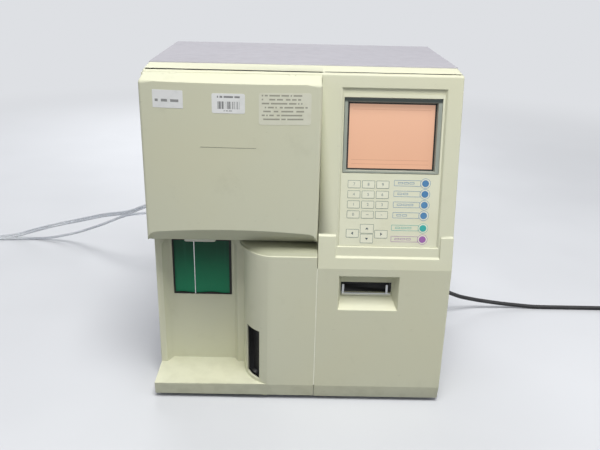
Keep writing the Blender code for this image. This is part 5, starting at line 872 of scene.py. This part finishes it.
hue = glass.mix(dots * 0.02, hue, tone(200, 150, 124))
glass.tint(0.45, hue, tone(84, 62, 50))
glass.feed("Emission Color", hue)
glass.feed("Roughness", glass.noise(40.0, 3.0).fade(0.3, 0.8) * 0.08 + 0.12)
edged("display_module", glass)

# Printer
# A thermal strip printer behind the pocket: black throat, rubber platen, paper roll on two arms
# and a dark tear bar held by two bright screw blocks.
black = finish("black_moulding", tone(20, 21, 22), tone(28, 28, 29), 0.5, 15.0, 1200.0, 0.15)
edged("printer_mechanism", black)
tear = finish("tear_bar_steel", tone(150, 152, 150), tone(132, 134, 132), 0.34, 200.0, 1200.0, 0.1, Metallic=0.8)
z = tear.axes()[2]
tear.tint(z.fade(0.169, 0.1698), tone(204, 205, 190), tone(190, 192, 194))
tear.feed("Metallic", z.fade(0.169, 0.1698) * 0.9)
edged("tear_bar", tear, 0.0003)
platen = finish("platen_rubber", tone(40, 40, 42), tone(50, 50, 52), 0.75, 60.0, 900.0, 0.2)
edged("platen_roller", platen, 0.0, "platen_roller")
paper = Paint("roll_paper", tone(238, 238, 234), 0.8)
x, y, z = paper.axes()
turns = ((y + 0.115) * (y + 0.115) + (z - 0.248) * (z - 0.248)) ** 0.5
layer = paper.dice((turns * 9000.0).floor())
paper.tint(layer * 0.35, tone(240, 240, 236), tone(214, 214, 208))
paper.relief(paper.noise(700.0, 3.0), 0.1, 0.0001)
edged("paper_roll", paper, 0.0, "paper_roll")

# Sampling bay
# A glossy green plate behind a black rubber gasket, the steel probe with its white carriage and
# rinse cup, and the black start plate in the column's opening.
green = Paint("green_plate", tone(30, 112, 80), 0.35, Specular_IOR_Level=0.2)
x, y, z = green.axes()
# Painted shade: the plate darkens towards its top, under the cover
hue = green.mix(z.fade(0.15, 0.222), tone(38, 134, 96), tone(16, 72, 50))
# Painted reflections: paler upright streaks across the glossy plate
reflection_streaks = green.noise(1.0, 2.0, 0.5, (120.0, 1.0, 3.0)).fade(0.5, 0.75)
hue = green.mix(reflection_streaks * 0.25, hue, tone(44, 116, 88))
green.feed("Base Color", hue)
green.feed("Roughness", green.noise(30.0, 3.0).fade(0.3, 0.8) * 0.1 + 0.3)
edged("green_back_plate", green)

gasket_rubber = finish("gasket_rubber", tone(20, 21, 20), tone(32, 33, 31), 0.75, 60.0, 900.0, 0.2)
bm = solid_mesh("window_gasket")
x0, x1 = (pick(vert.co.x for vert in bm.verts) for pick in (min, max))
z0 = min(vert.co.z for vert in bm.verts)
slice_across(bm, x0, (x1 - x0) / 16, 16)
for vert in bm.verts:
    if 0.0005 < vert.co.z - z0 < 0.004:
        vert.co.z += 0.0007 + 0.0009 * math.sin((vert.co.x - x0) * 140.0)
    if 0.0005 < x1 - vert.co.x < 0.004:
        vert.co.x -= 0.0021
    if 0.0005 < vert.co.x - x0 < 0.004:
        vert.co.x += 0.0008
piece("window_gasket_seal", bm, gasket_rubber, ("window_gasket",))

bright = finish(
    "bright_metal", tone(212, 213, 214), tone(198, 200, 202), 0.26, 300.0, 1500.0, 0.05, 0.16, Metallic=1.0
)
white = finish("white_moulding", tone(226, 226, 214), tone(218, 217, 202), 0.42, 30.0, 1200.0, 0.1)
edged("sample_probe", bright, 0.0, "probe_carriage")


CUP_RIM, CUP_LIFT = 0.2325, 0.0017


def short_cup(bm):
    """Keep only a rim of the rinse cup below the cover's lip."""
    for vert in bm.verts:
        if vert.co.z < CUP_RIM:
            vert.co.z += CUP_LIFT


edged("rinse_cup", white, 0.0005, shape=short_cup)
edged("probe_carriage", white, 0.0005, "probe_carriage")
edged("start_switch_pocket", black)
edged("start_switch_paddle", black, 0.0003, "start_paddle")

# Metal case
# Folded steel sheet painted lilac grey: a lid with a skirt, two louvred sides and a back panel,
# held by pan head screws.
case_grey = finish("case_enamel", tone(157, 155, 162), tone(154, 152, 159), 0.42, 6.0, 1100.0, 0.22, 0.1)
for node in ("top_panel", "left_side_panel", "right_side_panel", "rear_panel"):
    edged(node, case_grey)


def screw(bm, centre, axis, radius):
    """A pan head with a round drive recess, on a face that looks along an axis."""
    profile = [
        (0.0, 0.2), (0.36, 0.2), (0.42, 0.62), (0.62, 0.6), (0.84, 0.46), (0.97, 0.24), (1.0, 0.05), (1.0, -0.05),
    ]
    spun(bm, [(r * radius, h * radius) for r, h in profile], centre, axis, 20)


SIDE_X, REAR_Y = 0.21, behind(0.3247)
bm = bmesh.new()
for side in (-1, 1):
    for depth in (0.102, 0.312):
        for z in (0.03, 0.24, 0.45):
            screw(bm, (side * SIDE_X, behind(depth), z), (side, 0, 0), 0.0034)
for x in (-0.19, 0.0, 0.19):
    for z in (0.02, 0.458):
        screw(bm, (x, REAR_Y, z), (0, 1, 0), 0.0034)
piece("case_screws", bm, bright)

# Chassis and feet
# A zinc plated pan and bulkhead fold up the frame, which stands on four turned rubber feet.
zinc = Paint("zinc_plate", tone(176, 178, 180), 0.38, Metallic=1.0)
spangle = zinc.noise(80.0, 4.0)
zinc.tint(spangle.fade(0.35, 0.7), tone(182, 184, 186), tone(170, 173, 177))
zinc.feed("Roughness", spangle.fade(0.3, 0.8) * 0.12 + 0.34)
zinc.relief(zinc.noise(500.0, 2.0), 0.08, 0.0002)
for node in ("base_pan", "bulkhead"):
    edged(node, zinc)
foot_rubber = finish("foot_rubber", tone(34, 34, 34), tone(46, 46, 45), 0.8, 80.0, 900.0, 0.2)
for node in ("foot_front_left", "foot_front_right", "foot_rear_left", "foot_rear_right"):
    edged(node, foot_rubber)

# Hydraulics behind the cover
# Clear machined blocks on the bulkhead: two detectors, two mixing chambers and a manifold with
# black solenoids, beside the probe's lift and the white rotor valve.
acrylic = finish(
    "clear_acrylic", tone(226, 232, 236), tone(214, 222, 228), 0.14, 20.0, 800.0, 0.05, 0.08,
    Transmission_Weight=0.75, IOR=1.49,
)
for node in ("white_cell_detector", "red_cell_detector", "mixing_chambers", "waste_chamber"):
    edged(node, acrylic)
manifold = finish(
    "manifold_acrylic", tone(214, 222, 228), tone(204, 212, 220), 0.2, 20.0, 800.0, 0.05, 0.08,
    Transmission_Weight=0.3,
)
manifold.tint(manifold.axes()[1].fade(-0.1045, -0.1048), tone(214, 222, 228), tone(30, 30, 33))
edged("valve_manifold", manifold, 0.0004)
edged("probe_drive", zinc)
edged("rotor_valve_body", zinc, 0.0005)
edged("rotor_valve_disc", white, 0.0004, "rotor_valve_disc")

# Electronics and pump
# The main board stands on the bulkhead. The finned supply and the diaphragm pump sit on the pan.
board = Paint("board_laminate", tone(34, 92, 52), 0.42)
x, y, z = board.axes()
LANE, HOLE_PITCH = 0.0021, 0.00254
lanes = (x / LANE).floor() + 0.5
track = (abs((x / LANE) % 1.0 - 0.5) < 0.16) * (board.dice(lanes + (z / 0.03).floor() * 91.0) > 0.35)
hole = (abs((x / HOLE_PITCH) % 1.0 - 0.5) < 0.2) * (abs((z / HOLE_PITCH) % 1.0 - 0.5) < 0.2)
hue = board.mix(track * 0.6, tone(30, 86, 48), tone(58, 122, 74))
hue = board.mix(hole * (board.dice((z / HOLE_PITCH).floor() + 7.0) > 0.6) * 0.8, hue, tone(176, 178, 172))
hue = board.mix(y.fade(-0.077, -0.0768), hue, tone(28, 28, 30))
board.feed("Base Color", hue)
board.relief(track, 0.3, 0.0001)
edged("main_board", board)
alloy = finish("cast_alloy", tone(188, 190, 192), tone(172, 174, 178), 0.42, 40.0, 700.0, 0.15, 0.2, Metallic=1.0)
for node in ("power_supply", "diaphragm_pump"):
    edged(node, alloy, 0.0006)

# Cooling fan
# A square black fan behind the back panel with a seven blade rotor, and a plated wire guard on
# four screws.
edged("fan_frame", black)
edged("fan_rotor", black, 0.0, "fan_rotor")
FAN, GUARD_Y, GUARD_REACH, WIRE = Vector((0.1, 0.0, 0.36)), behind(0.325), 0.0375, 0.0008
bm = bmesh.new()
for radius in (0.0125, 0.0225, 0.0325):
    wire = [
        (radius + WIRE * math.cos(math.tau * k / 8), 0.004 + WIRE * math.sin(math.tau * k / 8)) for k in range(8)
    ]
    spun(bm, wire, (FAN.x, GUARD_Y, FAN.z), (0, 1, 0), 40, closed=True)
for axis in ((1, 0, 0), (0, 0, 1)):
    rod = [(0, -GUARD_REACH), (WIRE, -GUARD_REACH), (WIRE, GUARD_REACH), (0, GUARD_REACH)]
    spun(bm, rod, (FAN.x, GUARD_Y + 0.005, FAN.z), axis, 10)
for x, z in ((-1, 0), (1, 0), (0, -1), (0, 1)):
    centre = (FAN.x + 0.038 * x, GUARD_Y, FAN.z + 0.038 * z)
    spun(bm, [(0, 0.0), (0.0021, 0.0), (0.0021, 0.006), (0, 0.006)], centre, (0, 1, 0), 16)
piece("fan_guard_wires", bm, bright, ("fan_guard",))

# Power entry
# A black module snapped into the right side: inlet, fuse drawer and a rocker with a line and a ring.
edged("power_entry", black, 0.0003)
edged("power_rocker", black, 0.0003, "power_rocker")
face_right = Matrix.Rotation(math.radians(90), 4, "Z")
bm = bmesh.new()
plate(bm, -0.0115, 0.0115, 0.0615, 0.072, -0.0008, 0.0012, 0.0012)
plate(bm, -0.004, 0.004, 0.064, 0.0655, -0.0011, 0.0006, 0.0004)
bmesh.ops.transform(bm, matrix=Matrix.Translation((0.2093, ENTRY_Y, 0.0)) @ face_right, verts=bm.verts)
piece("fuse_drawer", bm, black)
rocker_ink = finish("rocker_ink", tone(226, 226, 222), tone(212, 212, 208), 0.5)
bm = bmesh.new()
plate(bm, -0.0003, 0.0003, -0.0022, 0.0022, -0.0001, 0.0002)
bmesh.ops.transform(bm, matrix=Matrix.Translation((0.2064, ENTRY_Y, 0.0868)) @ face_right, verts=bm.verts)
line_verts = set(bm.verts)
disc(bm, 0.0, 0.0, 0.0022, -0.0001, 0.0002, 0.0005)
tipped = Matrix.Translation((0.20787, ENTRY_Y, 0.09865)) @ Matrix.Rotation(math.radians(14), 4, "Y") @ face_right
bmesh.ops.transform(bm, matrix=tipped, verts=[vert for vert in bm.verts if vert not in line_verts])
piece("rocker_marks", bm, rocker_ink, body="power_rocker")

# Tube nipples
# Three turned barbed nipples with lock nuts on a small zinc plate, screwed to the back.
NIPPLE_Y = behind(0.327)
bm = bmesh.new()
plate(bm, -0.196, -0.152, 0.142, 0.188, behind(0.325), 0.002, 0.003)
for x, z in ((-0.1925, 0.1455), (-0.1555, 0.1455), (-0.1925, 0.1845), (-0.1555, 0.1845)):
    screw(bm, (x, NIPPLE_Y, z), (0, 1, 0), 0.0022)
for (x, _, z), diameter in zip((route[0] for route in tube_routes.values()), (0.004, 0.004, 0.0055)):
    bore = diameter / 2 - 0.0006
    centre = (x, NIPPLE_Y, z)
    spun(bm, [(0, 0.0), (0.0054, 0.0), (0.0054, 0.003), (0.0048, 0.0036), (0, 0.0036)], centre, (0, 1, 0), 6)
    profile = [(0, 0.003), (0.0042, 0.003), (0.0042, 0.0048), (bore, 0.0056), (bore, 0.008)]
    for i in range(4):
        at = 0.0085 + 0.0035 * i
        profile += [(bore + 0.0007, at), (bore, at + 0.003)]
    spun(bm, [*profile, (bore - 0.0003, 0.0228), (0, 0.0228)], centre, (0, 1, 0), 28)
piece("nipples", bm, zinc, ("nipple_plate",))
